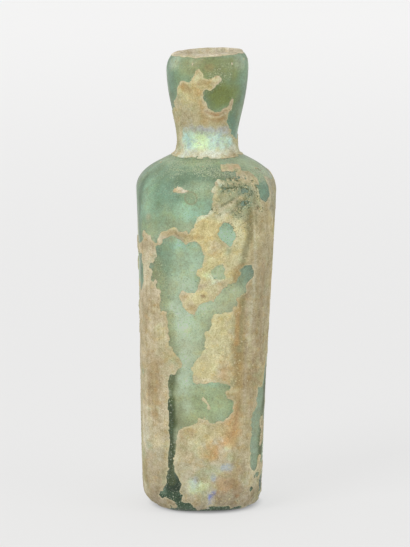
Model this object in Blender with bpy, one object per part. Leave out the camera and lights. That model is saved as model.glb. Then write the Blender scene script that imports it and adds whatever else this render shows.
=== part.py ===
"""Small square-bodied ointment bottle of thick free-blown glass, one open-mouthed hollow solid."""
import math

import bmesh
import bpy

OBJECT_NAME = "unguentarium"
NODE_NAME = "bottle"

SIDES = 48                  # points round one ring

RIM_HEIGHT = 0.1309         # middle of the rim's flat top above the base
BASE_HALF = 0.0169          # half the width across the flats just above the heel
SHOULDER_HALF = 0.0199      # half the width across the flats at the widest level
SHOULDER_Z = 0.0915         # the widest level, where the dome of the shoulder starts
HEEL_RADIUS = 0.0050        # rounding between the walls and the flat base
NECK_ROOT_Z = 0.1020        # where the dome of the shoulder turns up into the neck
NECK_ROOT_RADIUS = 0.0096
NECK_RADIUS = 0.0086        # the waist of the neck
NECK_Z = 0.1064
MOUTH_RADIUS = 0.0118       # the widest part of the flared mouth
MOUTH_Z = 0.1262
RIM_EDGE_RADIUS = 0.0092    # where the flat top of the rim starts to round over outwards
LIP_EDGE_RADIUS = 0.0080    # and where it starts to round over inwards

WALL = 0.0030               # body wall
FLOOR_THICKNESS = 0.0060    # glass under the cavity
INNER_HEEL = 0.0045
SHOULDER_WALL = 0.0032
LIP_RADIUS = 0.0073         # the opening just under the lip
LIP_DROP = 0.0014
BORE_RADIUS = 0.0050        # the channel through the neck
BORE_TOP_Z = 0.1120
BORE_ROOT_Z = 0.1010

# how the curves between those levels leave and arrive: (out or in, up or down) from the named point
BODY_LOW = (0.0008, 0.0340)       # out from the base's half width, at this level
BODY_HIGH = (0.0016, 0.0700)      # in from the shoulder's half width, at this level
DOME_LOW = (0.0001, 0.0061)       # out and up from the widest level
DOME_HIGH = (0.0041, 0.0024)      # out and down from the neck's root
ROOT_LOW = (0.0002, 0.0005)       # out from the neck's radius, up from the root
ROOT_HIGH = 0.0016                # down from the waist of the neck
FLARE_LOW = (0.0003, 0.0052)      # out and up from the waist of the neck
FLARE_HIGH = (0.0003, 0.0095)     # in and down from the widest part of the mouth
FUNNEL_LOW = (0.0002, 0.0070)     # in and down from the lip
FUNNEL_HIGH = 0.0050              # up from the top of the bore
BORE_LOW = 0.0040                 # down from the top of the bore
BORE_HIGH = 0.0030                # up from the root of the bore
BORE_FLARE = 0.0003               # the bore is this much wider at its root
CEILING_LOW = (0.0020, 0.0024)    # out and down from the root of the bore
CEILING_HIGH = (0.0020, 0.0070)   # the cavity is widest this far under the shoulder; up from there
CAVITY_LOW = (0.0008, 0.0640)     # in from the wall's inside under the shoulder, at this level
CAVITY_HIGH = (0.0004, 0.0340)    # out from the foot of the cavity, at this level
FOOT_SPREAD = 0.0001              # the cavity's foot is this much wider than the base less the wall

BASE_RING_RADIUS = 0.0065   # a ring between the base's middle and its heel keeps the faces even
FLOOR_RING_RADIUS = 0.0045  # the same on the cavity's floor
PROFILE_STEPS = {"heel": 7, "body": 12, "dome": 12, "root": 5, "flare": 9, "rim": 7, "lip": 4, "funnel": 6,
                 "bore": 3, "ceiling": 9, "cavity": 7, "inner_heel": 5}
SHARP_ANGLE = 38.0          # degrees; softer edges are shaded smooth

SQUARE_BODY = 0.56          # how much of the half width is flat on the body, 0 is a round section
SQUARE_FOOT = 0.32          # the same at the heel, where the corners are softer
SQUARE_RISE_Z = 0.0200      # level at which the body section is fully reached
SQUARE_FADE_Z = 0.0740      # level from which the corners melt towards the round shoulder

LEAN = 0.0012               # the base sits this far to the left of the shoulder
LEAN_POWER = 1.6            # above 1 the lean gathers in the upper body
MOUTH_SHIFT = 0.0005        # the mouth sits this far to the right of the shoulder
TURN = 2.5                  # degrees the square section is turned about the upright axis
HEEL_LIFT = 0.0015          # the left heel rides up by this much at its outermost point
HEEL_LIFT_FROM = 0.40       # where the lift starts and ends, in half widths to the left of the middle
HEEL_LIFT_TO = 1.10
HEEL_LIFT_TOP = 0.0160      # level at which the lift has faded out
RIM_TILT = 0.045            # rise of the rim per unit of width, higher on the right


def clear_scene():
    for item in list(bpy.data.objects):
        bpy.data.objects.remove(item, do_unlink=True)


def ease(low, high, value):
    part = min(max((value - low) / (high - low), 0.0), 1.0)
    return part * part * (3.0 - 2.0 * part)


def bezier(start, out_handle, in_handle, end, count):
    """Points along one cubic curve of (radius, height), the start left out."""
    points = []
    for step in range(1, count + 1):
        t = step / count
        u = 1.0 - t
        weights = (u * u * u, 3.0 * u * u * t, 3.0 * u * t * t, t * t * t)
        corners = (start, out_handle, in_handle, end)
        radius = sum(w * c[0] for w, c in zip(weights, corners))
        height = sum(w * c[1] for w, c in zip(weights, corners))
        points.append((radius, height))
    return points


def quarter(center, radius, height, first, last, count):
    """Points on an elliptical arc from the angle first to the angle last, the start left out."""
    points = []
    for step in range(1, count + 1):
        angle = first + (last - first) * step / count
        points.append((center[0] + radius * math.cos(angle), center[1] + height * math.sin(angle)))
    return points


def outer_profile():
    """The outside from the middle of the flat base up to the flat top of the rim."""
    steps = PROFILE_STEPS
    heel_center = (BASE_HALF - HEEL_RADIUS, HEEL_RADIUS)
    shoulder = (SHOULDER_HALF, SHOULDER_Z)
    root = (NECK_ROOT_RADIUS, NECK_ROOT_Z)
    waist = (NECK_RADIUS, NECK_Z)
    widest = (MOUTH_RADIUS, MOUTH_Z)
    edge_center = (RIM_EDGE_RADIUS, MOUTH_Z)
    points = [(BASE_RING_RADIUS, 0.0), (BASE_HALF - HEEL_RADIUS, 0.0)]
    points += quarter(heel_center, HEEL_RADIUS, HEEL_RADIUS, -math.pi / 2, 0.0, steps["heel"])
    points += bezier(points[-1], (BASE_HALF + BODY_LOW[0], BODY_LOW[1]),
                     (SHOULDER_HALF - BODY_HIGH[0], BODY_HIGH[1]), shoulder, steps["body"])
    points += bezier(shoulder, (SHOULDER_HALF + DOME_LOW[0], SHOULDER_Z + DOME_LOW[1]),
                     (NECK_ROOT_RADIUS + DOME_HIGH[0], NECK_ROOT_Z - DOME_HIGH[1]), root, steps["dome"])
    points += bezier(root, (NECK_RADIUS + ROOT_LOW[0], NECK_ROOT_Z + ROOT_LOW[1]),
                     (NECK_RADIUS, NECK_Z - ROOT_HIGH), waist, steps["root"])
    points += bezier(waist, (NECK_RADIUS + FLARE_LOW[0], NECK_Z + FLARE_LOW[1]),
                     (MOUTH_RADIUS - FLARE_HIGH[0], MOUTH_Z - FLARE_HIGH[1]), widest, steps["flare"])
    points += quarter(edge_center, MOUTH_RADIUS - RIM_EDGE_RADIUS, RIM_HEIGHT - MOUTH_Z, 0.0, math.pi / 2,
                      steps["rim"])
    return points


def inner_profile():
    """The inside from the flat top of the rim down to the middle of the cavity's floor."""
    steps = PROFILE_STEPS
    lip_center = (LIP_EDGE_RADIUS, RIM_HEIGHT - LIP_DROP)
    bore_top = (BORE_RADIUS, BORE_TOP_Z)
    bore_root = (BORE_RADIUS + BORE_FLARE, BORE_ROOT_Z)
    shoulder = (SHOULDER_HALF - SHOULDER_WALL, SHOULDER_Z - CEILING_HIGH[0])
    foot = (BASE_HALF + FOOT_SPREAD - WALL, FLOOR_THICKNESS + INNER_HEEL)
    heel_center = (foot[0] - INNER_HEEL, foot[1])
    points = [(LIP_EDGE_RADIUS, RIM_HEIGHT)]
    points += quarter(lip_center, LIP_EDGE_RADIUS - LIP_RADIUS, LIP_DROP, math.pi / 2, math.pi, steps["lip"])
    points += bezier(points[-1], (LIP_RADIUS - FUNNEL_LOW[0], RIM_HEIGHT - FUNNEL_LOW[1]),
                     (BORE_RADIUS, BORE_TOP_Z + FUNNEL_HIGH), bore_top, steps["funnel"])
    points += bezier(bore_top, (BORE_RADIUS, BORE_TOP_Z - BORE_LOW), (BORE_RADIUS, BORE_ROOT_Z + BORE_HIGH),
                     bore_root, steps["bore"])
    points += bezier(bore_root, (BORE_RADIUS + CEILING_LOW[0], BORE_ROOT_Z - CEILING_LOW[1]),
                     (shoulder[0], shoulder[1] + CEILING_HIGH[1]), shoulder, steps["ceiling"])
    points += bezier(shoulder, (SHOULDER_HALF - WALL - CAVITY_LOW[0], CAVITY_LOW[1]),
                     (foot[0] + CAVITY_HIGH[0], CAVITY_HIGH[1]), foot, steps["cavity"])
    points += quarter(heel_center, INNER_HEEL, INNER_HEEL, 0.0, -math.pi / 2, steps["inner_heel"])
    points.append((FLOOR_RING_RADIUS, FLOOR_THICKNESS))
    return points


def squareness(height):
    """Flat share of the half width at a level: soft at the foot, full on the body, none at the neck."""
    body = SQUARE_FOOT + (SQUARE_BODY - SQUARE_FOOT) * ease(0.0, SQUARE_RISE_Z, height)
    return body * (1.0 - ease(SQUARE_FADE_Z, NECK_ROOT_Z, height))


def reach(half, flat, angle):
    """Distance from the middle to a square of half width half whose corners leave flat of it straight."""
    eighth = math.pi / 4
    local = abs((angle - math.radians(TURN) + eighth) % (2.0 * eighth) - eighth)
    straight = half * flat
    corner = half - straight
    if math.tan(local) * half <= straight:
        return half / math.cos(local)
    along = straight * (math.cos(local) + math.sin(local))
    return along + math.sqrt(max(along * along - 2.0 * straight * straight + corner * corner, 0.0))


def middle(height):
    """Sideways place of the section's middle at a level."""
    low = -LEAN * (1.0 - min(max(height, 0.0) / SHOULDER_Z, 1.0) ** LEAN_POWER)
    return low + MOUTH_SHIFT * ease(SHOULDER_Z, NECK_Z, height)


def place(radius, height, angle):
    distance = reach(radius, squareness(height), angle)
    x = middle(height) + distance * math.cos(angle)
    y = distance * math.sin(angle)
    lift = RIM_TILT * ease(NECK_Z, RIM_HEIGHT, height) * distance * math.cos(angle)
    leftward = -distance * math.cos(angle) / BASE_HALF
    lift += HEEL_LIFT * ease(HEEL_LIFT_FROM, HEEL_LIFT_TO, leftward) * (1.0 - ease(0.0, HEEL_LIFT_TOP, height))
    return (x, y, height + lift)


def glass_material():
    material = bpy.data.materials.new("bottle_glass")
    material.use_nodes = True
    shader = material.node_tree.nodes["Principled BSDF"]
    shader.inputs["Base Color"].default_value = (0.42, 0.60, 0.46, 1.0)
    shader.inputs["Metallic"].default_value = 0.0
    shader.inputs["Roughness"].default_value = 0.35
    shader.inputs["IOR"].default_value = 1.5
    shader.inputs["Transmission Weight"].default_value = 0.6
    return material


def build_bottle(collection):
    """One closed wall: base centre, outside, rim, inside, cavity floor centre."""
    mesh = bpy.data.meshes.new(NODE_NAME)
    body = bmesh.new()
    rings = []
    for radius, height in outer_profile() + inner_profile():
        ring = []
        for side in range(SIDES):
            angle = 2.0 * math.pi * (side + 0.5) / SIDES
            ring.append(body.verts.new(place(radius, height, angle)))
        rings.append(ring)
    for lower, upper in zip(rings, rings[1:]):
        for side in range(SIDES):
            after = (side + 1) % SIDES
            body.faces.new((lower[side], lower[after], upper[after], upper[side]))
    under = body.verts.new((middle(0.0), 0.0, 0.0))
    floor = body.verts.new((middle(FLOOR_THICKNESS), 0.0, FLOOR_THICKNESS))
    for side in range(SIDES):
        after = (side + 1) % SIDES
        body.faces.new((under, rings[0][after], rings[0][side]))
        body.faces.new((floor, rings[-1][side], rings[-1][after]))
    bmesh.ops.recalc_face_normals(body, faces=body.faces)
    bmesh.ops.triangulate(body, faces=body.faces)
    body.to_mesh(mesh)
    body.free()
    mesh.shade_smooth()
    mesh.set_sharp_from_angle(angle=math.radians(SHARP_ANGLE))
    mesh.materials.append(glass_material())
    bottle = bpy.data.objects.new(NODE_NAME, mesh)
    collection.objects.link(bottle)
    return bottle


def build():
    clear_scene()
    collection = bpy.data.collections.new(OBJECT_NAME)
    bpy.context.scene.collection.children.link(collection)
    build_bottle(collection)


build()
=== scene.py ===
import math

import bpy
import mathutils
import numpy as np
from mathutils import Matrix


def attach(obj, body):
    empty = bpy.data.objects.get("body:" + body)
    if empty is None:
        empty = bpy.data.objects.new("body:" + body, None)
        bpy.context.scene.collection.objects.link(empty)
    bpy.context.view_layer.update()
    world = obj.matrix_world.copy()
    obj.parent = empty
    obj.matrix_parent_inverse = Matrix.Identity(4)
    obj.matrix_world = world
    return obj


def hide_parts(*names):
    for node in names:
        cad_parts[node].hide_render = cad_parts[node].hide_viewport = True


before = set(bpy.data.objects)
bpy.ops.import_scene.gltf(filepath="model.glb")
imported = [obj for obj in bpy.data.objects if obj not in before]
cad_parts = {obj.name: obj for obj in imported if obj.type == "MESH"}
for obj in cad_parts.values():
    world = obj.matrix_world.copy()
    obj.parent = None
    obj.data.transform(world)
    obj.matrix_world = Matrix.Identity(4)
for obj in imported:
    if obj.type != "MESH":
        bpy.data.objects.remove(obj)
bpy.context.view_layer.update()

scene = bpy.context.scene
mm = 0.001


# small helpers for geometry and shader trees

real, whole, vector, shade = "NodeSocketFloat", "NodeSocketInt", "NodeSocketVector", "NodeSocketColor"


def wire(tree, value, socket):
    if isinstance(value, bpy.types.Node):
        value = value.outputs[0]
    if isinstance(value, bpy.types.NodeSocket):
        tree.links.new(value, socket)
    else:
        socket.default_value = value


def addNode(tree, kind, *values, **settings):
    node = tree.nodes.new(kind)
    for name, value in settings.items():
        setattr(node, name, value)
    for place, value in enumerate(values):
        if value is not None:
            wire(tree, value, node.inputs[place])
    return node


def liveSocket(sockets, name=None):
    # of several sockets with one name, the one in use
    return [s for s in sockets if s.enabled and name in (None, s.name)][0]


def feed(tree, node, **values):
    # sets or links inputs by name, with _ for a space
    for label, value in values.items():
        wire(tree, value, liveSocket(node.inputs, label.replace("_", " ")))
    return node


def sums(tree, operation, *values):
    return addNode(tree, "ShaderNodeMath", *values, operation=operation).outputs[0]


def plus(tree, first, second):
    return sums(tree, "ADD", first, second)


def minus(tree, first, second):
    return sums(tree, "SUBTRACT", first, second)


def times(tree, first, second):
    return sums(tree, "MULTIPLY", first, second)


def easing(tree, value, low, high, first=0.0, last=1.0):
    node = addNode(tree, "ShaderNodeMapRange", value, low, high, first, last, interpolation_type="SMOOTHSTEP")
    return node.outputs[0]


def noiseOf(tree, place, scale, detail=3.0, rough=0.5, twist=0.0):
    node = addNode(tree, "ShaderNodeTexNoise", noise_dimensions="3D")
    return feed(tree, node, Vector=place, Scale=scale, Detail=detail, Roughness=rough,
                Distortion=twist).outputs[0]


def newItem(name, data):
    item = bpy.data.objects.new(name, data)
    scene.collection.objects.link(item)
    return item


def openTree(name, kind, inputs, outputs):
    tree = bpy.data.node_groups.new(name, kind)
    for label, socketType, value in inputs:
        socket = tree.interface.new_socket(label, in_out="INPUT", socket_type=socketType)
        if value is not None:
            socket.default_value = value
    for label, socketType in outputs:
        tree.interface.new_socket(label, in_out="OUTPUT", socket_type=socketType)
    return tree, tree.nodes.new("NodeGroupInput").outputs, tree.nodes.new("NodeGroupOutput").inputs


def runTree(item, tree, values, name):
    # sets the named inputs, then keeps the evaluated result as a plain mesh object
    modifier = item.modifiers.new(name, "NODES")
    modifier.node_group = tree
    for socket in tree.interface.items_tree:
        if socket.item_type == "SOCKET" and socket.in_out == "INPUT" and socket.name in values:
            modifier[socket.identifier] = values[socket.name]
    item.update_tag()
    bpy.context.view_layer.update()
    graph = bpy.context.evaluated_depsgraph_get()
    mesh = bpy.data.meshes.new_from_object(item.evaluated_get(graph))
    item.modifiers.remove(modifier)
    result = newItem(name, mesh)
    bpy.data.objects.remove(item, do_unlink=True)
    return result


def finishTree(tree, solid, material, output):
    # the last two nodes of a geometry tree
    painted = addNode(tree, "GeometryNodeSetMaterial", addNode(tree, "GeometryNodeRealizeInstances", solid))
    wire(tree, feed(tree, painted, Material=material), output)


# the vessel's form: sizes in metres, its turn in degrees

vessel = {
    "rimHeight": 0.1309, "baseHalf": 0.0169, "shoulderHalf": 0.0199, "shoulderHeight": 0.0915,
    "heelRadius": 0.0050, "rootHeight": 0.1020, "rootRadius": 0.0096, "neckRadius": 0.0086,
    "neckHeight": 0.1064, "mouthRadius": 0.0118, "mouthHeight": 0.1262, "rimEdge": 0.0092,
    "lipEdge": 0.0080, "wall": 0.0030, "floor": 0.0060, "innerHeel": 0.0045, "shoulderWall": 0.0032,
    "lipRadius": 0.0073, "lipDrop": 0.0014, "boreRadius": 0.0050, "boreTop": 0.1120, "boreRoot": 0.1010,
    "flatBody": 0.56, "flatFoot": 0.32, "flatRise": 0.0200, "flatFade": 0.0740,
    "lean": 0.0012, "leanPower": 1.6, "mouthShift": 0.0005, "turn": 2.5, "heelLift": 0.0015,
    "rimTilt": 0.045,
    "skin": 0.00014,  # the glass lies this far inside the outline, to leave room for the crust
    "waves": 0.00012, "waveSize": 95.0,
    "sides": 240, "rows": 404, "weld": 0.000003}
formInputs = (  # the tree's inputs that carry the vessel's value of the same name
    "Flat Foot", "Flat Body", "Flat Rise", "Flat Fade", "Root Height", "Lean", "Lean Power",
    "Shoulder Height", "Mouth Shift", "Neck Height", "Rim Height", "Rim Tilt", "Base Half", "Heel Lift",
    "Waves", "Wave Size")


def bezier(start, outHandle, inHandle, end, count):
    points = []
    for step in range(1, count + 1):
        t = step / count
        weights = ((1 - t) ** 3, 3 * t * (1 - t) ** 2, 3 * t * t * (1 - t), t ** 3)
        corners = (start, outHandle, inHandle, end)
        points.append(tuple(sum(w * c[axis] for w, c in zip(weights, corners)) for axis in (0, 1)))
    return points


def quarter(center, radius, height, first, last, count):
    points = []
    for step in range(1, count + 1):
        angle = first + (last - first) * step / count
        points.append((center[0] + radius * math.cos(angle), center[1] + height * math.sin(angle)))
    return points


def outerProfile(v):
    # middle of the base, heel, body, domed shoulder, neck, flared mouth, flat top of the rim;
    # small numbers added to a corner place its curve's handles
    half, heel, top = v["baseHalf"], v["heelRadius"], (v["shoulderHalf"], v["shoulderHeight"])
    root, waist = (v["rootRadius"], v["rootHeight"]), (v["neckRadius"], v["neckHeight"])
    widest = (v["mouthRadius"], v["mouthHeight"])
    points = [(0.0, 0.0), (0.0065, 0.0), (half - heel, 0.0)]
    points += quarter((half - heel, heel), heel, heel, -math.pi / 2, 0.0, 20)
    points += bezier(points[-1], (half + 0.0008, 0.034), (top[0] - 0.0016, 0.070), top, 40)
    points += bezier(top, (top[0] + 0.0001, top[1] + 0.0061), (root[0] + 0.0041, root[1] - 0.0024), root, 40)
    points += bezier(root, (waist[0] + 0.0002, root[1] + 0.0005), (waist[0], waist[1] - 0.0016), waist, 14)
    points += bezier(waist, (waist[0] + 0.0003, waist[1] + 0.0052), (widest[0] - 0.0003, widest[1] - 0.0095),
                     widest, 30)
    points += quarter((v["rimEdge"], widest[1]), widest[0] - v["rimEdge"], v["rimHeight"] - widest[1],
                      0.0, math.pi / 2, 20)
    return points


def innerProfile(v):
    # flat top of the rim, lip, funnel, bore, inside of the shoulder, cavity, floor
    lip, bore = v["lipRadius"], v["boreRadius"]
    shoulder = (v["shoulderHalf"] - v["shoulderWall"], v["shoulderHeight"] - 0.0020)
    foot = (v["baseHalf"] + 0.0001 - v["wall"], v["floor"] + v["innerHeel"])
    points = [(v["lipEdge"], v["rimHeight"])]
    points += quarter((v["lipEdge"], v["rimHeight"] - v["lipDrop"]), v["lipEdge"] - lip, v["lipDrop"],
                      math.pi / 2, math.pi, 10)
    points += bezier(points[-1], (lip - 0.0002, v["rimHeight"] - 0.0070), (bore, v["boreTop"] + 0.0050),
                     (bore, v["boreTop"]), 20)
    root = (bore + 0.0003, v["boreRoot"])
    points += bezier(points[-1], (bore, v["boreTop"] - 0.0040), (bore, root[1] + 0.0030), root, 10)
    points += bezier(root, (bore + 0.0020, root[1] - 0.0024), (shoulder[0], shoulder[1] + 0.0070), shoulder,
                     30)
    points += bezier(shoulder, (v["shoulderHalf"] - v["wall"] - 0.0008, 0.064), (foot[0] + 0.0004, 0.034),
                     foot, 30)
    points += quarter((foot[0] - v["innerHeel"], foot[1]), v["innerHeel"], v["innerHeel"], 0.0,
                      -math.pi / 2, 14)
    points.append((0.0, v["floor"]))
    return points


def shrink(points, depth):
    # moves a profile inwards along its own normals
    line = np.array(points)
    along = np.gradient(line, axis=0)
    normal = np.stack([along[:, 1], -along[:, 0]], 1)
    normal /= np.linalg.norm(normal, axis=1, keepdims=True)
    moved = line - normal * depth
    moved[:, 0] = np.maximum(moved[:, 0], 0.0)
    moved[line[:, 0] == 0.0, 0] = 0.0
    return [tuple(point) for point in moved]


def profileCurve(name, points):
    curve = bpy.data.curves.new(name, "CURVE")
    curve.dimensions = "3D"
    spline = curve.splines.new("POLY")
    spline.points.add(len(points) - 1)
    for point, (radius, height) in zip(spline.points, points):
        point.co = (radius, 0.0, height, 1.0)
    return newItem(name, curve)


def squaredReach(tree, half, height, angle, given):
    # how far the outline stands from the axis: flat faces with round corners, fully round at neck and mouth
    risen = easing(tree, height, 0.0, given["Flat Rise"], given["Flat Foot"], given["Flat Body"])
    flat = times(tree, risen, easing(tree, height, given["Flat Fade"], given["Root Height"], 1.0, 0.0))
    turned = plus(tree, minus(tree, angle, given["Turn"]), math.pi / 4 + 4 * math.pi)
    local = sums(tree, "ABSOLUTE", minus(tree, sums(tree, "MODULO", turned, math.pi / 2), math.pi / 4))
    straight = times(tree, half, flat)
    corner = minus(tree, half, straight)
    onFlat = sums(tree, "LESS_THAN", times(tree, sums(tree, "TANGENT", local), half), straight)
    faceReach = sums(tree, "DIVIDE", half, sums(tree, "COSINE", local))
    along = times(tree, straight, plus(tree, sums(tree, "COSINE", local), sums(tree, "SINE", local)))
    spare = minus(tree, times(tree, along, along), times(tree, times(tree, straight, straight), 2.0))
    spare = sums(tree, "MAXIMUM", sums(tree, "MULTIPLY_ADD", corner, corner, spare), 0.0)
    cornerReach = plus(tree, along, sums(tree, "SQRT", spare))
    reach = addNode(tree, "ShaderNodeMix", onFlat, data_type="FLOAT")
    return feed(tree, reach, A=cornerReach, B=faceReach).outputs[0]


def loftTree():
    # turns a profile round the upright axis, square on the body and round at the neck
    sizes = [("Profile", "NodeSocketGeometry", None), ("Sides", whole, 64), ("Rows", whole, 64),
             ("Turn", real, 0.0), ("Weld", real, 0.0), ("Glass", "NodeSocketMaterial", None)]
    sizes += [(label, real, 0.0) for label in formInputs]
    tree, given, out = openTree("vesselLoft", "GeometryNodeTree", sizes, [("Vessel", "NodeSocketGeometry")])
    sheet = addNode(tree, "GeometryNodeMeshGrid", 1.0, 1.0, plus(tree, given["Sides"], 1.0), given["Rows"])
    place = addNode(tree, "ShaderNodeSeparateXYZ", addNode(tree, "GeometryNodeInputPosition"))
    sample = addNode(tree, "GeometryNodeSampleCurve", mode="FACTOR", use_all_curves=False)
    feed(tree, sample, Curves=given["Profile"], Factor=plus(tree, place.outputs["Y"], 0.5))
    station = addNode(tree, "ShaderNodeSeparateXYZ", sample.outputs["Position"])
    height = station.outputs["Z"]
    angle = sums(tree, "MULTIPLY_ADD", place.outputs["X"], 2 * math.pi, -math.pi / 2)
    reach = squaredReach(tree, station.outputs["X"], height, angle, given)
    across = times(tree, reach, sums(tree, "COSINE", angle))
    deep = times(tree, reach, sums(tree, "SINE", angle))

    # lean of the body, shift of the mouth, tilt of the rim, lift of the left heel
    low = sums(tree, "DIVIDE", sums(tree, "MAXIMUM", height, 0.0), given["Shoulder Height"])
    low = sums(tree, "POWER", sums(tree, "MINIMUM", low, 1.0), given["Lean Power"])
    leaned = times(tree, minus(tree, low, 1.0), given["Lean"])
    shifted = easing(tree, height, given["Shoulder Height"], given["Neck Height"], 0.0, given["Mouth Shift"])
    tilt = easing(tree, height, given["Neck Height"], given["Rim Height"], 0.0, given["Rim Tilt"])
    leftward = sums(tree, "DIVIDE", times(tree, across, -1.0), given["Base Half"])
    lift = times(tree, easing(tree, leftward, 0.40, 1.10, 0.0, given["Heel Lift"]),
                 easing(tree, height, 0.0, 0.016, 1.0, 0.0))
    point = addNode(tree, "ShaderNodeCombineXYZ", plus(tree, across, plus(tree, leaned, shifted)), deep,
                    plus(tree, height, plus(tree, times(tree, across, tilt), lift)))

    # slight waves in the wall, pushed straight outwards
    swell = times(tree, minus(tree, noiseOf(tree, point, given["Wave Size"], 2.0), 0.5), given["Waves"])
    swell = times(tree, swell, easing(tree, height, 0.001, 0.008))
    outwards = addNode(tree, "ShaderNodeVectorMath", addNode(tree, "ShaderNodeCombineXYZ", across, deep, 0.0),
                       operation="NORMALIZE")
    pushed = addNode(tree, "ShaderNodeVectorMath", outwards, operation="SCALE")
    feed(tree, pushed, Scale=swell)
    final = addNode(tree, "ShaderNodeVectorMath", point, pushed, operation="ADD")
    moved = addNode(tree, "GeometryNodeSetPosition", sheet, None, final)
    welded = feed(tree, addNode(tree, "GeometryNodeMergeByDistance", moved), Distance=given["Weld"])
    finishTree(tree, addNode(tree, "GeometryNodeSetShadeSmooth", welded), given["Glass"], out["Vessel"])
    return tree


def loft(tree, name, profile, sides, rows, weld, material):
    values = {label: vessel[label[0].lower() + label[1:].replace(" ", "")] for label in formInputs}
    values.update({"Sides": sides, "Rows": rows, "Turn": math.radians(vessel["turn"]), "Weld": weld,
                   "Glass": material})
    return runTree(profileCurve(name + "Line", profile), tree, values, name)


def coordinates(item):
    flat = np.zeros(len(item.data.vertices) * 3)
    item.data.vertices.foreach_get("co", flat)
    return flat.reshape(-1, 3)


def middleOf(height):
    # where the leaning body's axis stands at a height
    low = np.clip(height / vessel["shoulderHeight"], 0.0, 1.0) ** vessel["leanPower"]
    return vessel["lean"] * (low - 1.0)


def aroundOf(points):
    # degrees round the upright axis, 0 at the front and growing to the right
    return np.degrees(np.arctan2(points[:, 0] - middleOf(points[:, 2]), -points[:, 1]))


def degreesFrom(middle, around):
    # turn from the middle, -180 to 180
    return (around - middle + 180.0) % 360.0 - 180.0


# noise and painted fields, worked out on points of the surface

girths = {"body": 18.0, "neck": 9.0, "neckFrom": 103.0}  # mm: radii that turn degrees into a width


def girthAt(height):
    return girths["neck"] if height > girths["neckFrom"] else girths["body"]


def latticeValue(cell, seed):
    mixed = cell[..., 0] * 374761393 + cell[..., 1] * 668265263 + cell[..., 2] * 1440670441 + seed * 974711
    mixed = (mixed ^ (mixed >> 13)) & 0xFFFFFFFF
    mixed = (mixed * 1274126177) & 0xFFFFFFFF
    return ((mixed ^ (mixed >> 16)) & 0xFFFF) / 65535.0


def cloud(points, size, seed, octaves=3):
    # smooth value noise between 0 and 1, with features about size across
    total, weight, scale = 0.0, 0.0, 1.0
    for octave in range(octaves):
        place = points * (scale / size) + 7.3 * octave
        cell = np.floor(place).astype(np.int64)
        part = place - cell
        part = part * part * (3.0 - 2.0 * part)
        value = 0.0
        for corner in range(8):
            step = np.array([corner & 1, (corner >> 1) & 1, corner >> 2])
            blend = np.prod(np.where(step == 1, part, 1.0 - part), axis=1)
            value = value + blend * latticeValue(cell + step, seed + octave * 17)
        total = total + value / scale
        weight += 1.0 / scale
        scale *= 2.0
    return total / weight


def wanderOf(points, size, seed, octaves=3):
    # the same noise between -1 and 1
    return (cloud(points, size, seed, octaves) - 0.5) * 2.0


def softStep(value, low, high):
    part = np.clip((value - low) / (high - low), 0.0, 1.0)
    return part * part * (3.0 - 2.0 * part)


def closedLoop(points, steps=3):
    # a closed smooth curve through the points
    knots = np.array(points, float)
    before, after, later = np.roll(knots, 1, 0), np.roll(knots, -1, 0), np.roll(knots, -2, 0)
    loop = []
    for step in range(steps):
        t = step / steps
        loop.append(0.5 * (2 * knots + (after - before) * t
                           + (2 * before - 5 * knots + 4 * after - later) * t ** 2
                           + (3 * knots - before - 3 * after + later) * t ** 3))
    return np.stack(loop, 1).reshape(-1, 2)


def depthInside(patch, around, height):
    # metres from each point to the patch's border, above 0 inside it and -1 well away from it
    girth, loop = patch["girth"] * mm, closedLoop(patch["border"])
    center = (loop[:, 0].min() + loop[:, 0].max()) / 2
    flat = np.stack([np.radians(loop[:, 0] - center) * girth, loop[:, 1] * mm], 1)
    depth = np.full(len(around), -1.0)
    x, y = np.radians(degreesFrom(center, around)) * girth, height
    margin = 3.0 * mm
    near = ((x > flat[:, 0].min() - margin) & (x < flat[:, 0].max() + margin)
            & (y > flat[:, 1].min() - margin) & (y < flat[:, 1].max() + margin))
    x, y = x[near], y[near]
    best, odd = np.full(len(x), 1.0), np.zeros(len(x), bool)
    for (x0, y0), (x1, y1) in zip(flat, np.roll(flat, -1, 0)):
        dx, dy = x1 - x0, y1 - y0
        t = np.clip(((x - x0) * dx + (y - y0) * dy) / (dx * dx + dy * dy + 1e-18), 0.0, 1.0)
        best = np.minimum(best, np.hypot(x - x0 - t * dx, y - y0 - t * dy))
        if dy != 0.0:
            odd ^= ((y0 > y) != (y1 > y)) & (x < (y - y0) / dy * dx + x0)
    depth[near] = np.where(odd, best, -best)
    return depth


def ovalReach(oval, girth, around, height):
    # 0 in the middle of an oval, 1 on its border: degrees round, height, half width and half height in mm
    atAround, atHeight, wide, tall = oval
    return np.hypot(np.radians(degreesFrom(atAround, around)) * girth / wide, (height / mm - atHeight) / tall)


def strokeField(line, width, girth, around, height, wander):
    # 1 along a broken line of (degrees, mm), fading to 0 at 0.7 of its width in mm
    best = np.full(len(around), 99.0)
    for (a0, h0), (a1, h1) in zip(line, line[1:]):
        x, y = np.radians(degreesFrom(a0, around)) * girth, height / mm - h0
        dx, dy = math.radians(a1 - a0) * girth, h1 - h0
        t = np.clip((x * dx + y * dy) / (dx * dx + dy * dy), 0.0, 1.0)
        best = np.minimum(best, np.hypot(x - t * dx, y - t * dy))
    return softStep(best / width + wander * 0.4, 0.70, 0.20)


def hue(name):
    # a colour of the palette, seen on a screen as 0 to 255, as linear light
    return np.array([(part / 255 / 12.92) if part < 10.3 else ((part / 255 + 0.055) / 1.055) ** 2.4
                     for part in palette[name]])


def tinted(colour, name, share):
    # moves the colour at each point towards a named one
    return colour + (hue(name) - colour) * share[:, None]


def paint(colour, around, height, wander, dabs):
    # soft dabs: colour, oval, strength
    for name, *oval, strength in dabs:
        reach = ovalReach(oval, girthAt(oval[1]), around, height)
        colour = tinted(colour, name, strength * softStep(reach + wander, 1.25, 0.40))
    return colour


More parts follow.
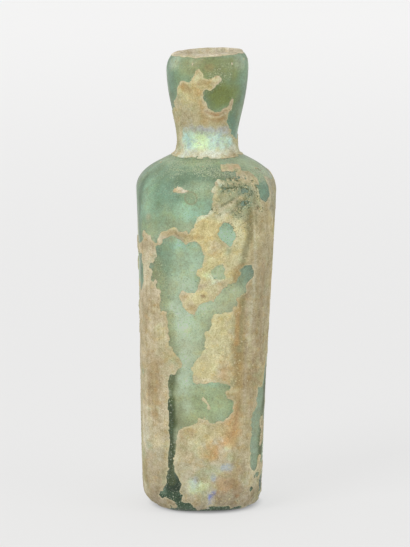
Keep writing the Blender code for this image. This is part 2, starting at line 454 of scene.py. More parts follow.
def paintStrokes(colour, around, height, wander, strokes):
    # soft strokes: colour, width in mm, strength, line
    for name, width, strength, line in strokes:
        field = strokeField(line, width, girthAt(line[0][1]), around, height, wander)
        colour = tinted(colour, name, strength * field)
    return colour


def fieldOf(dabs, points, around, height, seed):
    # strongest of the dabs at each point, 0 where there are none
    field = np.zeros(len(points))
    wander = wanderOf(points, 0.003, seed)
    for *oval, strength in dabs:
        reach = ovalReach(oval, girthAt(oval[1]), around, height)
        field = np.maximum(field, strength * softStep(reach + wander, 1.25, 0.3))
    return field


# where the glass is bare, where crust lies on it: (degrees round, height in mm)

barePatches = {
    "frontPanel": {"girth": 18, "border": [
        (-36, 77.5), (-36, 74.7), (-40, 72), (-40, 68), (-35, 67.7), (-34, 62), (-30, 58), (-28, 52),
        (-26, 48.5), (-21, 46), (-19, 44), (-22, 42), (-24.5, 40.8), (-27.4, 40.8), (-28.2, 33), (-28, 24),
        (-28.6, 15), (-30.4, 11), (-33, 8), (-34, 5.2), (-29, 4.4), (-24, 3.0), (-20, 1.6), (-12, 1.2),
        (-5, 1.5), (-11, 3.2), (-18, 4.0), (-18.6, 7.2), (-19.4, 10), (-23, 12.4), (-25, 15), (-22.8, 19),
        (-21.5, 24.2), (-14, 25.8), (-5, 26.6), (-3.5, 28), (5, 28), (8, 26.8), (16, 27), (23, 28.3),
        (26, 30), (27, 32), (25, 33.6), (21, 34.3), (22, 35.8), (26, 37), (19, 38.3), (10, 38.8), (-2, 38),
        (-8.6, 38.3), (-9.8, 40.8), (-9, 43.6), (-3.4, 45.6), (0.6, 47.6), (0.8, 50.4), (1.4, 53),
        (5.6, 53.8), (8, 57), (12, 58.6), (20, 58.5), (24, 59.8), (28, 62.7), (32, 65), (35.5, 67.5),
        (37.5, 69.5), (36, 72.2), (31, 72), (28.5, 70.5), (28, 67.3), (22, 67.2), (17, 65.6), (12, 63.6),
        (8, 62.3), (3, 61.7), (-4, 61.2), (-5.4, 59.8), (-8, 58.9), (-13, 58.8), (-16.6, 60.2), (-18.6, 62),
        (-20, 64.2), (-18, 65.3), (-13, 64.8), (-7.4, 65.2), (-4.8, 67.4), (-6, 70.7), (-2.4, 72.2),
        (-0.6, 74.5), (-2.6, 77.2), (-6, 79), (-10, 79.4), (-15, 78.9), (-20, 79.6), (-24, 81.3),
        (-30, 80.6), (-33.5, 78.4)]},
    "shoulder": {"girth": 18, "border": [
        (-140, 103), (-60, 103), (0, 103), (60, 103), (128, 103), (127, 99.4), (112, 97.2), (98, 96.2),
        (88, 95.4), (76, 95.0), (68, 95.6), (63, 96.2), (61, 94.4), (59, 91.8), (55, 90.1), (50, 89.8),
        (46, 91.2), (45.2, 94.2), (46.6, 97.0), (45, 98.4), (40, 97.4), (33, 96.9), (24, 97.0), (15, 96.8),
        (8, 95.8), (6.5, 93), (6, 91), (6, 89.2), (2, 87.5), (-4, 86.7), (-8, 85.2), (-10.5, 82.6),
        (-13, 82), (-19, 82.6), (-24, 83.2), (-29, 83), (-34, 82), (-35.5, 79.6), (-37.5, 79), (-41, 80.8),
        (-46, 81.2), (-51, 78.6), (-60, 77.2), (-72, 76.2), (-84, 76.4), (-94, 76), (-106, 77),
        (-120, 76.6), (-130, 80), (-137, 86), (-140, 95)]},
    "roundWindow": {"girth": 18, "border": [
        (11.5, 81.4), (13, 83.9), (17, 84.7), (21, 84), (23.2, 81.6), (23.2, 79.2), (21.5, 77.2),
        (18, 77.6), (14, 79.2)]},
    "paleWindow": {"girth": 18, "border": [
        (8, 70.4), (10, 72), (13, 72.6), (18, 71.6), (18, 69.6), (14, 68.5), (10, 68.9)]},
    "rightStrip": {"girth": 18, "border": [
        (62, 46), (57, 44), (54.5, 41), (54, 38.5), (52, 37), (48, 36.2), (46, 34.5), (44, 31.5),
        (42.3, 29), (42, 26), (41, 22), (42, 17), (43.5, 13.8), (47, 12.2), (50, 13.4), (52, 16.5),
        (58, 15), (68, 13), (72, 22), (68, 32), (66, 42)]},
    "leftSliver": {"girth": 18, "border": [
        (-112, 71), (-96, 74.6), (-84, 73), (-70, 75.4), (-58, 75), (-51, 75), (-49, 72.5), (-48.6, 69.5),
        (-50, 66.8), (-56, 64.8), (-66, 66.4), (-78, 64), (-92, 65.6), (-104, 66)]},
    "backShoulder": {"girth": 18, "border": [
        (128, 103), (232, 103), (225, 96), (214, 89), (200, 91), (186, 85), (172, 87), (160, 84), (148, 90),
        (136, 96)]},
}

neckCrust = {"girth": 9.5, "border": [
    (-215, 101.6), (-215, 111), (-180, 113), (-150, 115.5), (-118, 112), (-95, 114), (-75, 114.2),
    (-66, 115), (-58, 116.8), (-50, 119.4), (-44, 122.2), (-35, 123.5), (-24, 123.4), (-16, 125.2),
    (-10, 126.9), (-5, 125.6), (-1, 124.4), (6, 124.5), (13, 125.2), (19, 125.4), (21.6, 124.2),
    (18, 122.7), (9, 121.4), (1, 121), (-4, 120), (-2.6, 117.8), (4, 116.4), (14, 115.6), (24, 115.5),
    (33, 115.9), (38, 117.0), (41.4, 118.4), (44, 118.2), (43.4, 116), (39, 114), (37, 112.4), (41, 111),
    (49, 109), (60, 107.6), (74, 106.4), (95, 107), (120, 110.5), (150, 112), (180, 113), (215, 114),
    (215, 101.6), (150, 101.9), (100, 101.2), (70, 101.6), (30, 101.2), (0, 101.7), (-40, 101.2),
    (-80, 101.8), (-150, 101.3)]}

# flakes of crust on bare glass
crustIslands = {
    "cornerFlake": {"girth": 16.5, "border": [
        (16.5, 98.5), (17.5, 99.4), (20, 100.2), (26, 100.3), (32, 100.3), (38, 100.2), (42.5, 99.9),
        (41, 99.1), (38, 98.4), (33, 98.4), (26, 98.6), (21, 98.5)]},
    "starFlake": {"girth": 18, "border": [
        (-27.4, 93.4), (-26.2, 94.1), (-27, 95.5), (-25, 94.5), (-24.2, 96.1), (-23, 94.6), (-21, 95.9),
        (-21, 94.4), (-18.6, 95), (-18, 94.1), (-11.6, 93.9), (-16, 93.2), (-21, 92.9)]},
    "stripFringe": {"girth": 18, "border": [
        (50.4, 20.6), (52.4, 19.4), (56, 21), (57, 24), (55.5, 27.6), (52.4, 28), (50.8, 26),
        (51.6, 23.4)]},
    "forkFlake": {"girth": 18, "border": [
        (-1.8, 34.0), (-0.4, 34.2), (0.8, 35.0), (2.4, 34.3), (4.2, 33.5), (5.8, 32.6), (6.8, 31.4),
        (5.6, 31.3), (4, 32.2), (2, 32.6), (0.2, 32.8)]},
    "backCup": {"girth": 10, "border": [
        (135, 108), (140, 118), (158, 124), (176, 121), (190, 126), (206, 124), (222, 117), (226, 108)]},
    "shoulderArch": {"girth": 18, "border": [
        (29, 96.6), (30.6, 97.9), (35, 98.4), (40, 98.5), (46, 98.1), (49.2, 97.2), (50, 95.6),
        (47.6, 94.4), (44, 95), (38, 95.6), (32, 96)]},
    "leftTip": {"girth": 18, "border": [
        (-42, 80.5), (-46, 81.8), (-50, 80.5), (-46, 78)]},
}

# small bare chips along the heel and holes elsewhere: degrees, height, half width and half height in mm
chips = [
    (-35.5, 5.6, 0.5, 0.9), (-26, 2.6, 0.8, 0.35), (9.5, 1.7, 0.8, 0.3), (46, 6.0, 0.32, 0.9),
    (52, 10.6, 0.32, 1.7), (54.5, 9.6, 0.4, 2.2), (49.4, 9.4, 0.3, 0.6), (34, 3.4, 0.35, 0.4),
    (-37.5, 59.6, 0.3, 0.4), (-54, 40, 0.35, 0.8), (100, 5, 0.8, 0.6), (140, 4, 1.2, 0.6),
    (-120, 5, 1.0, 0.7), (70, 6, 0.4, 0.8), (64, 8.2, 2.3, 3.6), (66, 3.4, 2.0, 1.0), (58, 14.6, 0.4, 1.2),
    (47.5, 88.2, 0.3, 0.45), (26.3, 36.1, 0.8, 0.45)]

# crust broken into specks, in the same terms, and the share that stays
dustZones = [
    (26, 96.4, 9.0, 1.6, 0.60), (18, 94.6, 2.0, 1.2, 0.52), (32, 93.4, 1.8, 1.2, 0.50),
    (30, 90.2, 2.2, 1.2, 0.62), (50.5, 24, 2.0, 5.0, 0.6), (-22, 95.2, 3.4, 0.8, 0.60),
    (-34, 66.0, 1.2, 3.0, 0.55), (-128, 50, 8, 16, 0.7), (140, 84, 9, 6, 0.6), (96, 14, 8, 5, 0.7)]

# loose specks on bare glass, in the same terms
speckZones = [
    (14, 99.0, 11.0, 2.2, 0.31), (-12, 97.2, 9.0, 2.4, 0.22), (62, 98.6, 7.0, 1.8, 0.30),
    (-60, 98.5, 14.0, 2.4, 0.2), (-30, 12.5, 1.6, 8.0, 0.10), (-24, 6.5, 2.6, 2.4, 0.22),
    (0, 58.5, 6.0, 1.2, 0.10)]

# borders that run straight: half width in mm, line of (degrees, height in mm)
calmEdges = [
    (4.0, [(-28, 41), (-28, 12)]), (3.0, [(18, 99.4), (40, 99.4)]), (4.0, [(-27, 94.4), (-13, 94.0)]),
    (2.2, [(-29, 54), (-25, 47.5)]), (2.4, [(53, 97), (53, 91)]), (2.4, [(-17, 63), (-8, 60.4)]),
    (3.0, [(-46, 121), (-30, 124)]), (2.4, [(8, 123.4), (21, 124.2)]), (2.0, [(38, 116.4), (43, 118)])]

crust = {
    "columns": 330, "rows": 352, "seed": 11, "bury": 0.00005,
    "edge": 0.00007, "body": 0.00021, "ramp": 0.0007, "lip": 0.00008,  # thickness from border to middle
    "swell": 0.00010, "swellSize": 0.0045, "grit": 0.00005, "gritSize": 0.0010,
    "ragged": 0.00120, "raggedSize": 0.0018, "fineRagged": 0.00045, "fineSize": 0.0008, "calming": 0.8,
    "hiddenBare": 0.43, "hiddenSize": 0.0085, "hiddenReach": 0.028, "hiddenFrom": 62.0,  # sides and back
    "hiddenFull": 86.0, "hiddenWander": 30.0, "neckFrom": 101.4 * mm, "backFrom": 97.0,
    "footBare": 0.0014, "underBare": 0.46, "speckSize": 0.00085, "speckReach": 0.0022,
    "grainyFrom": 27.0, "grainyFull": 35.0,
    # warmShade darkens the crust below shadeHeight: painted shade at the foot, together with dirt there
    "warmShade": (0.27, 0.27, 0.24), "shadeHeight": 0.0130}


def crustCover(points, around, height):
    # above 0 where crust lies; near its border the value is the distance to it in metres
    v, girth = crust, girths["body"]
    cover = np.full(len(points), 0.02)
    for patch in barePatches.values():
        cover = np.minimum(cover, -depthInside(patch, around, height))
    wild = cloud(points * np.array([1.0, 1.0, 0.45]), v["hiddenSize"], v["seed"], 4) - v["hiddenBare"]
    turned = np.abs(around) + wanderOf(points, 0.012, 12) * v["hiddenWander"]
    shown = softStep(turned, v["hiddenFull"], v["hiddenFrom"])
    cover = np.minimum(cover, wild * v["hiddenReach"] + shown * 0.02)
    cover = np.where(height > v["neckFrom"], depthInside(neckCrust, around, height), cover)
    for patch in crustIslands.values():
        cover = np.maximum(cover, depthInside(patch, around, height))
    for chip in chips:
        cover = np.minimum(cover, (ovalReach(chip, girth, around, height) - 1.0) * min(chip[2:]) * mm)

    # crust worn to specks, and loose specks on bare glass
    specks = cloud(points, v["speckSize"], 31, 2)
    for zones, worn in ((dustZones, True), (speckZones, False)):
        for *oval, share in zones:
            outside = 1.0 - softStep(ovalReach(oval, girth, around, height), 1.25, 0.6)
            grit = (specks - 1.0 + share) * v["speckReach"]
            if worn:
                cover = np.minimum(cover, grit + outside * 0.004)
            else:
                cover = np.maximum(cover, grit - outside * 0.0016 - 0.00032)

    # the foot and the underside, then ragged borders
    cover = np.minimum(cover, height - v["footBare"] * 2.0 * cloud(points, 0.005, 14, 2))
    radial = np.hypot(points[:, 0] - middleOf(height), points[:, 1])
    under = (radial < vessel["baseHalf"] - vessel["heelRadius"]) & (height < 0.5 * mm)
    cover = np.where(under, (cloud(points, 0.006, 5) - v["underBare"]) * 0.01, cover)
    calm = np.zeros(len(points))
    for wide, line in calmEdges:
        calm = np.maximum(calm, strokeField(line, 2.0 * wide, girth, around, height, 0.0))
    ragged = wanderOf(points, v["raggedSize"], 3) * v["ragged"] * (1.0 - v["calming"] * calm)
    return cover + ragged + wanderOf(points, v["fineSize"], 8, 2) * v["fineRagged"]


def surfaceGrid(tree, name, profile, columns, rows):
    # points and outward normals of the lofted outline, column by column
    sheet = loft(tree, name, profile, columns, rows, 0.0, None)
    points = coordinates(sheet).reshape(columns + 1, rows, 3)[:-1]
    bpy.data.objects.remove(sheet, do_unlink=True)
    wrapped = np.concatenate([points[-1:], points, points[:1]])
    normal = np.cross(wrapped[2:] - wrapped[:-2], np.gradient(points, axis=1))
    normal[:, 0] = normal[:, 1]
    normal[:, -1] = normal[:, -2]
    normal /= np.linalg.norm(normal, axis=2, keepdims=True) + 1e-15
    return points.reshape(-1, 3), normal.reshape(-1, 3)


def gridTriangles(columns, rows, pole):
    # two triangles a cell; every point of the pole's row stands for one point
    column, row = np.meshgrid(np.arange(columns), np.arange(rows - 1), indexing="ij")
    after = (column + 1) % columns
    a, b = column * rows + row, after * rows + row
    c, d = after * rows + row + 1, column * rows + row + 1
    even = ((column + row) % 2 == 0)[..., None]
    first = np.where(even, np.stack([a, b, c], -1), np.stack([a, b, d], -1))
    second = np.where(even, np.stack([a, c, d], -1), np.stack([b, c, d], -1))
    triangles = np.concatenate([first.reshape(-1, 3), second.reshape(-1, 3)])
    triangles[triangles % rows == pole] = pole
    same = (triangles == np.roll(triangles, 1, 1)).any(1)
    return triangles[~same]


def clipTriangles(triangles, cover):
    # keeps the part where cover is above 0; new points lie on grid edges: (low end, high end, share)
    inside = cover > 0.0
    kept = inside[triangles]
    count = kept.sum(1)
    total = len(cover)
    whole = triangles[count == 3]
    one, two = triangles[count == 1], triangles[count == 2]
    one = one[np.arange(len(one))[:, None], (kept[count == 1].argmax(1)[:, None] + np.arange(3)) % 3]
    two = two[np.arange(len(two))[:, None], ((~kept[count == 2]).argmax(1)[:, None] + np.arange(3)) % 3]
    pairs = np.concatenate([one[:, [0, 1]], one[:, [0, 2]], two[:, [0, 1]], two[:, [0, 2]]])
    pairs = np.sort(pairs, 1)
    unique, place = np.unique(pairs[:, 0].astype(np.int64) * total + pairs[:, 1], return_inverse=True)
    low, high = unique // total, unique % total
    share = np.clip(cover[low] / (cover[low] - cover[high]), 0.08, 0.92)
    p, q, r, s = np.split(place + total, np.cumsum([len(one), len(one), len(two)]))
    small = np.stack([one[:, 0], p, q], 1)
    wide = np.concatenate([np.stack([r, two[:, 1], two[:, 2]], 1), np.stack([r, two[:, 2], s], 1)])
    return np.concatenate([whole, small, wide]), low, high, share


def carry(values, low, high, share):
    # adds the clipped border's values to those of the grid's points
    weight = share.reshape([-1] + [1] * (values.ndim - 1))
    return np.concatenate([values, values[low] * (1.0 - weight) + values[high] * weight])


def storeFields(mesh, fields, colours):
    # values and colours kept on the points, for the finishes to read
    for label, values in fields.items():
        layer = mesh.attributes.new(label, "FLOAT", "POINT")
        layer.data.foreach_set("value", values.astype(np.float32))
    for label, values in colours.items():
        layer = mesh.attributes.new(label, "FLOAT_COLOR", "POINT")
        rgba = np.concatenate([values, np.ones((len(values), 1))], 1)
        layer.data.foreach_set("color", rgba.astype(np.float32).ravel())


def meshFrom(name, points, faces, material, fields, colours):
    mesh = bpy.data.meshes.new(name)
    mesh.vertices.add(len(points))
    mesh.vertices.foreach_set("co", points.astype(np.float32).ravel())
    mesh.loops.add(faces.size)
    mesh.loops.foreach_set("vertex_index", faces.astype(np.int32).ravel())
    mesh.polygons.add(len(faces))
    mesh.polygons.foreach_set("loop_start", np.arange(0, faces.size, 3, dtype=np.int32))
    mesh.update(calc_edges=True)
    storeFields(mesh, fields, colours)
    mesh.shade_smooth()
    mesh.set_sharp_from_angle(angle=math.radians(50.0))
    mesh.materials.append(material)
    return newItem(name, mesh)


def shell(name, points, normal, triangles, cover, thick, fields, colours, material, bury):
    # a closed thin layer: top, underside sunk into the glass, and a wall round every border
    faces, low, high, share = clipTriangles(triangles, cover)
    points, normal, thick = (carry(v, low, high, share) for v in (points, normal, thick))
    fields = {label: carry(v, low, high, share) for label, v in fields.items()}
    colours = {label: carry(v, low, high, share) for label, v in colours.items()}
    normal = normal / np.linalg.norm(normal, axis=1, keepdims=True)
    directed = np.concatenate([faces[:, [0, 1]], faces[:, [1, 2]], faces[:, [2, 0]]])
    edges = np.sort(directed, 1).astype(np.int64)
    keys = edges[:, 0] * len(points) + edges[:, 1]
    back, uses = np.unique(keys, return_inverse=True, return_counts=True)[1:]
    border = directed[uses[back] == 1]
    used = np.unique(faces)
    renumber = np.full(len(points), -1)
    renumber[used] = np.arange(len(used))
    top, border = renumber[faces], renumber[border]
    lower = len(used)
    wall = np.concatenate([np.stack([border[:, 1], border[:, 0], border[:, 0] + lower], 1),
                           np.stack([border[:, 1], border[:, 0] + lower, border[:, 1] + lower], 1)])
    faces = np.concatenate([top, top[:, ::-1] + lower, wall])
    outer = points[used] + normal[used] * thick[used, None]
    outer[:, 2] = np.maximum(outer[:, 2], 0.0)
    inner = points[used] - normal[used] * bury
    fields = {label: np.tile(v[used], 2) for label, v in fields.items()}
    fields["outside"] = np.repeat([1.0, 0.0], lower)
    colours = {label: np.tile(v[used], (2, 1)) for label, v in colours.items()}
    return meshFrom(name, np.concatenate([outer, inner]), faces, material, fields, colours)


# colours, as seen on a screen

palette = {
    "sand": (194, 182, 151), "streak": (166, 146, 112), "gold": (200, 191, 142), "pale": (202, 197, 155),
    "straw": (195, 183, 141), "orange": (198, 172, 122), "clay": (176, 168, 140), "rose": (170, 155, 127),
    "khaki": (177, 166, 130), "moss": (154, 158, 124), "ochre": (180, 158, 112), "cream": (208, 199, 168),
    "umber": (156, 136, 92), "apricot": (200, 168, 124), "rust": (166, 132, 96), "grey": (174, 162, 136),
    "neck": (174, 169, 131), "frost": (192, 226, 220), "rim": (190, 180, 156), "brown": (150, 126, 92),
    "olive": (138, 134, 100), "lavender": (140, 160, 192), "mint": (202, 225, 198), "lime": (222, 247, 190),
    "greenish": (160, 168, 132), "aqua": (158, 188, 164), "paleAqua": (180, 198, 173),
    "warmAqua": (192, 196, 160), "sage": (172, 181, 148), "sageOlive": (158, 166, 126),
    "shoulder": (121, 144, 123), "teal": (104, 138, 120), "cup": (130, 152, 122), "cupTop": (146, 151, 108),
    "oliveGlass": (122, 134, 72), "oliveCup": (128, 138, 90), "deep": (82, 96, 54), "deepest": (40, 62, 40),
    "pit": (78, 88, 58), "strip": (146, 164, 142), "haze": (216, 230, 206), "silver": (186, 200, 180),
    "cyan": (158, 198, 180), "white": (226, 220, 202), "violet": (104, 128, 200), "mouth": (222, 212, 188),
    "chalk": (214, 216, 196), "mauve": (170, 174, 184), "milk": (174, 205, 180), "tan": (196, 172, 140),
    "bloom": (194, 156, 108), "dusting": (186, 191, 170), "murk": (92, 112, 94), "honey": (210, 198, 144),
    "pool": (196, 213, 176), "flank": (160, 150, 121), "dusk": (160, 156, 132)}

# painted dabs: colour, degrees round, height, half width and half height in mm, strength
crustDabs = [
    ("sand", -44, 40, 7, 40, 0.8), ("streak", -40, 34, 2.4, 10, 0.7), ("streak", -47, 56, 1.4, 9, 0.5),
    ("rose", -40, 14, 4, 12, 0.4), ("rose", -46, 9, 5, 7, 0.5), ("grey", -48, 16, 3, 5, 0.4),
    ("sand", -33, 60, 3, 8, 0.5), ("ochre", -27, 46, 2.2, 3, 0.6), ("pale", -33, 52, 1.4, 4, 0.5),
    ("gold", 12, 56, 9, 9, 0.9), ("pale", 14, 47, 8, 7, 0.75), ("gold", 4, 42, 5, 4, 0.7),
    ("apricot", 20, 41, 3, 4, 0.6), ("gold", 10, 84, 9, 5, 0.7), ("ochre", 2, 82, 4, 4, 0.65),
    ("rose", -18, 80.8, 5, 1.6, 0.6), ("gold", 24, 77, 6, 7, 0.7), ("ochre", 8, 75, 3, 4, 0.7),
    ("gold", 1, 71, 5, 6, 1.0), ("gold", -2, 64, 6, 4, 0.8), ("pale", 8, 66, 4, 3, 0.8),
    ("gold", 22, 70, 5, 3, 0.6), ("gold", 29, 80, 4, 7, 0.8), ("pale", 27, 81, 1.6, 4, 0.6),
    ("clay", -2, 20, 12, 6, 0.8), ("gold", 0, 24, 6, 3, 0.5), ("clay", 2, 12, 12, 8, 0.7),
    ("rose", 22, 8, 6, 6, 0.85), ("rust", 24, 9, 3.4, 3, 0.35), ("khaki", 42, 50, 6, 36, 0.8),
    ("grey", 46, 60, 2.4, 24, 0.5), ("apricot", 25, 28, 2.6, 6, 0.6), ("bloom", 13, 18.6, 4.2, 3.4, 0.75),
    ("apricot", 22, 23, 3, 4, 0.6), ("bloom", 22, 9.4, 4.4, 3.6, 0.5), ("streak", 40, 35, 4.4, 12, 0.4),
    ("streak", -42, 38, 5, 9, 0.3), ("straw", 10, 24.4, 5, 2.4, 0.4), ("streak", 43, 47, 2.4, 10, 0.6),
    ("pale", -9, 21, 5, 4.5, 0.55), ("pale", 4, 9.6, 2.6, 2.2, 0.5), ("sand", 34, 52, 1.3, 9, 0.6),
    ("streak", -42, 48, 2.4, 4, 0.4), ("khaki", 37, 62, 1.8, 5, 0.4), ("chalk", -50, 24, 2, 6, 0.4),
    ("ochre", 10, 16.8, 2.4, 2.0, 0.5), ("gold", 20, 24, 3, 3, 0.4), ("straw", 44, 80, 4, 7, 0.5),
    ("greenish", 22, 89.5, 4, 3, 0.5), ("moss", 28, 92.4, 8, 5, 0.75), ("sage", 24, 89, 8, 3, 0.5),
    ("greenish", 12, 92.6, 4, 4, 0.6), ("rose", 38, 97.4, 3.6, 1.4, 0.5), ("tan", 24, 95.4, 2, 0.9, 0.6),
    ("tan", 29, 99.4, 8, 1.5, 0.95), ("shoulder", 18, 94.4, 2.4, 1.6, 0.85),
    ("shoulder", 32, 93.2, 2.6, 2.0, 0.85), ("olive", 26, 91, 2.4, 1.0, 0.6),
    ("teal", 31, 90.0, 1.8, 1.0, 0.8), ("haze", 12, 96.2, 1.6, 1.2, 0.7), ("straw", 18, 90, 3, 1.2, 0.5),
    ("white", -22, 94.6, 2.4, 1.6, 0.75), ("straw", 26, 96.6, 6, 1.3, 0.6), ("rose", 36, 8, 5, 7, 0.5),
    ("cream", -7, 7, 2.4, 3.0, 0.4), ("orange", 12, 19.8, 1.6, 1.3, 0.7), ("rust", 33, 5.2, 0.8, 0.7, 0.9),
    ("brown", 34, 3.4, 0.7, 0.8, 0.8), ("brown", 0, 63.7, 0.8, 0.7, 0.8),
    ("ochre", -16, 63.4, 1.3, 1.2, 0.7), ("ochre", -10, 60.5, 1.3, 1.2, 0.7),
    ("gold", -12, 62.4, 1.8, 1.4, 0.5), ("tan", -25, 94.2, 1.0, 0.8, 0.8), ("neck", 0, 108, 30, 10, 0.9),
    ("gold", -18, 121, 7, 5, 0.9), ("pale", -9, 124.6, 1.6, 1.6, 0.7), ("white", 19, 124.4, 0.9, 0.7, 0.6),
    ("rust", -33, 122.4, 0.9, 0.7, 0.6), ("rust", -8.5, 122.8, 0.6, 0.6, 0.7),
    ("gold", -2.6, 122.6, 1.4, 1.1, 0.6), ("brown", -9, 120.2, 0.5, 0.45, 0.7),
    ("brown", -24, 121.4, 0.45, 0.4, 0.6), ("brown", -14, 121.8, 0.4, 0.4, 0.6),
    ("orange", -10, 120.6, 1.2, 1.0, 0.7), ("ochre", -30, 121.5, 1.6, 1.4, 0.7),
    ("ochre", 10, 123.6, 3, 0.9, 0.5), ("rust", 16, 114, 2.6, 1.3, 0.5), ("ochre", 8, 113, 6, 3, 0.4),
    ("brown", 42, 88.2, 0.9, 0.8, 0.7), ("brown", -46, 85.7, 1.0, 0.9, 0.6),
    ("frost", -34, 106, 5.0, 4.4, 0.8), ("frost", 12, 105.7, 5.0, 3.3, 0.75),
    ("lime", -9, 105.6, 2.6, 3.2, 0.85), ("frost", 30, 106, 3.6, 3.2, 0.35),
    ("mauve", -4, 109.8, 4.4, 1.3, 0.6), ("mauve", 30, 109.4, 3.4, 1.6, 0.5),
    ("cyan", -40, 106.6, 2.6, 3.0, 0.5), ("ochre", -14, 120.6, 3, 3, 0.4), ("rose", -40, 112, 3, 4, 0.5),
    ("khaki", -18, 114, 4, 3, 0.5), ("chalk", 0, 102.8, 30, 1.5, 0.9), ("cream", 76, 97.5, 10, 5, 0.3),
    ("dusk", 66, 91, 5.5, 6, 0.8), ("dusk", 72, 95.4, 6, 3, 0.9), ("lime", 5, 69.6, 1.8, 1.8, 0.35),
    ("cream", 14, 86.5, 1.4, 2, 0.4), ("flank", 44.5, 65, 4.6, 22, 0.5), ("flank", 42, 97.4, 5, 1.6, 0.6),
    ("flank", 55, 23, 3, 5, 0.6), ("honey", -4, 82, 4.6, 3.4, 0.75), ("honey", 2, 78.6, 2.6, 2.2, 0.25),
    ("cream", 8, 77.4, 3.2, 2.4, 0.3), ("gold", 14, 76.4, 2.0, 1.6, 0.5),
    ("sage", 20, 76.6, 0.9, 1.7, 0.75), ("haze", 8.6, 68.3, 1.9, 1.8, 0.8), ("pale", 3, 33, 2.4, 2.6, 0.9),
    ("cream", 3, 38.8, 6, 0.9, 0.6), ("violet", 7.4, 4.8, 1.8, 2.9, 1.0),
    ("lavender", 11.5, 11, 1.0, 1.6, 0.6), ("lavender", 21, 13.8, 2.0, 1.1, 0.5),
    ("lavender", -6, 9.2, 1.1, 1.6, 0.45), ("lime", 1, 7.8, 3.4, 1.8, 0.4), ("greenish", 8, 13, 4, 3, 0.5),
    ("lime", 22, 19.5, 1.4, 1.2, 0.3), ("cup", -43, 20, 1.4, 1.8, 0.4), ("brown", 42, 88.5, 0.7, 0.7, 0.8),
    # sides and back
    ("sand", 180, 30, 16, 30, 0.5), ("greenish", 140, 70, 12, 20, 0.5), ("clay", -130, 60, 12, 24, 0.5),
    ("umber", 150, 40, 1.2, 16, 0.6), ("ochre", -148, 44, 1.2, 18, 0.6), ("orange", -100, 70, 5, 7, 0.5),
    ("rose", 90, 20, 9, 12, 0.6), ("moss", -150, 92, 10, 8, 0.6), ("gold", 170, 66, 7, 9, 0.6),
    ("ochre", 160, 50, 4, 8, 0.5), ("apricot", 196, 28, 5, 7, 0.6), ("mint", 176, 40, 3, 3, 0.4),
    ("gold", 100, 60, 6, 10, 0.5), ("greenish", -90, 20, 7, 10, 0.5), ("rose", -120, 36, 5, 12, 0.5),
    ("pale", 120, 40, 5, 9, 0.5), ("umber", -88, 84, 4, 3, 0.4), ("streak", 170, 12, 8, 6, 0.4)]

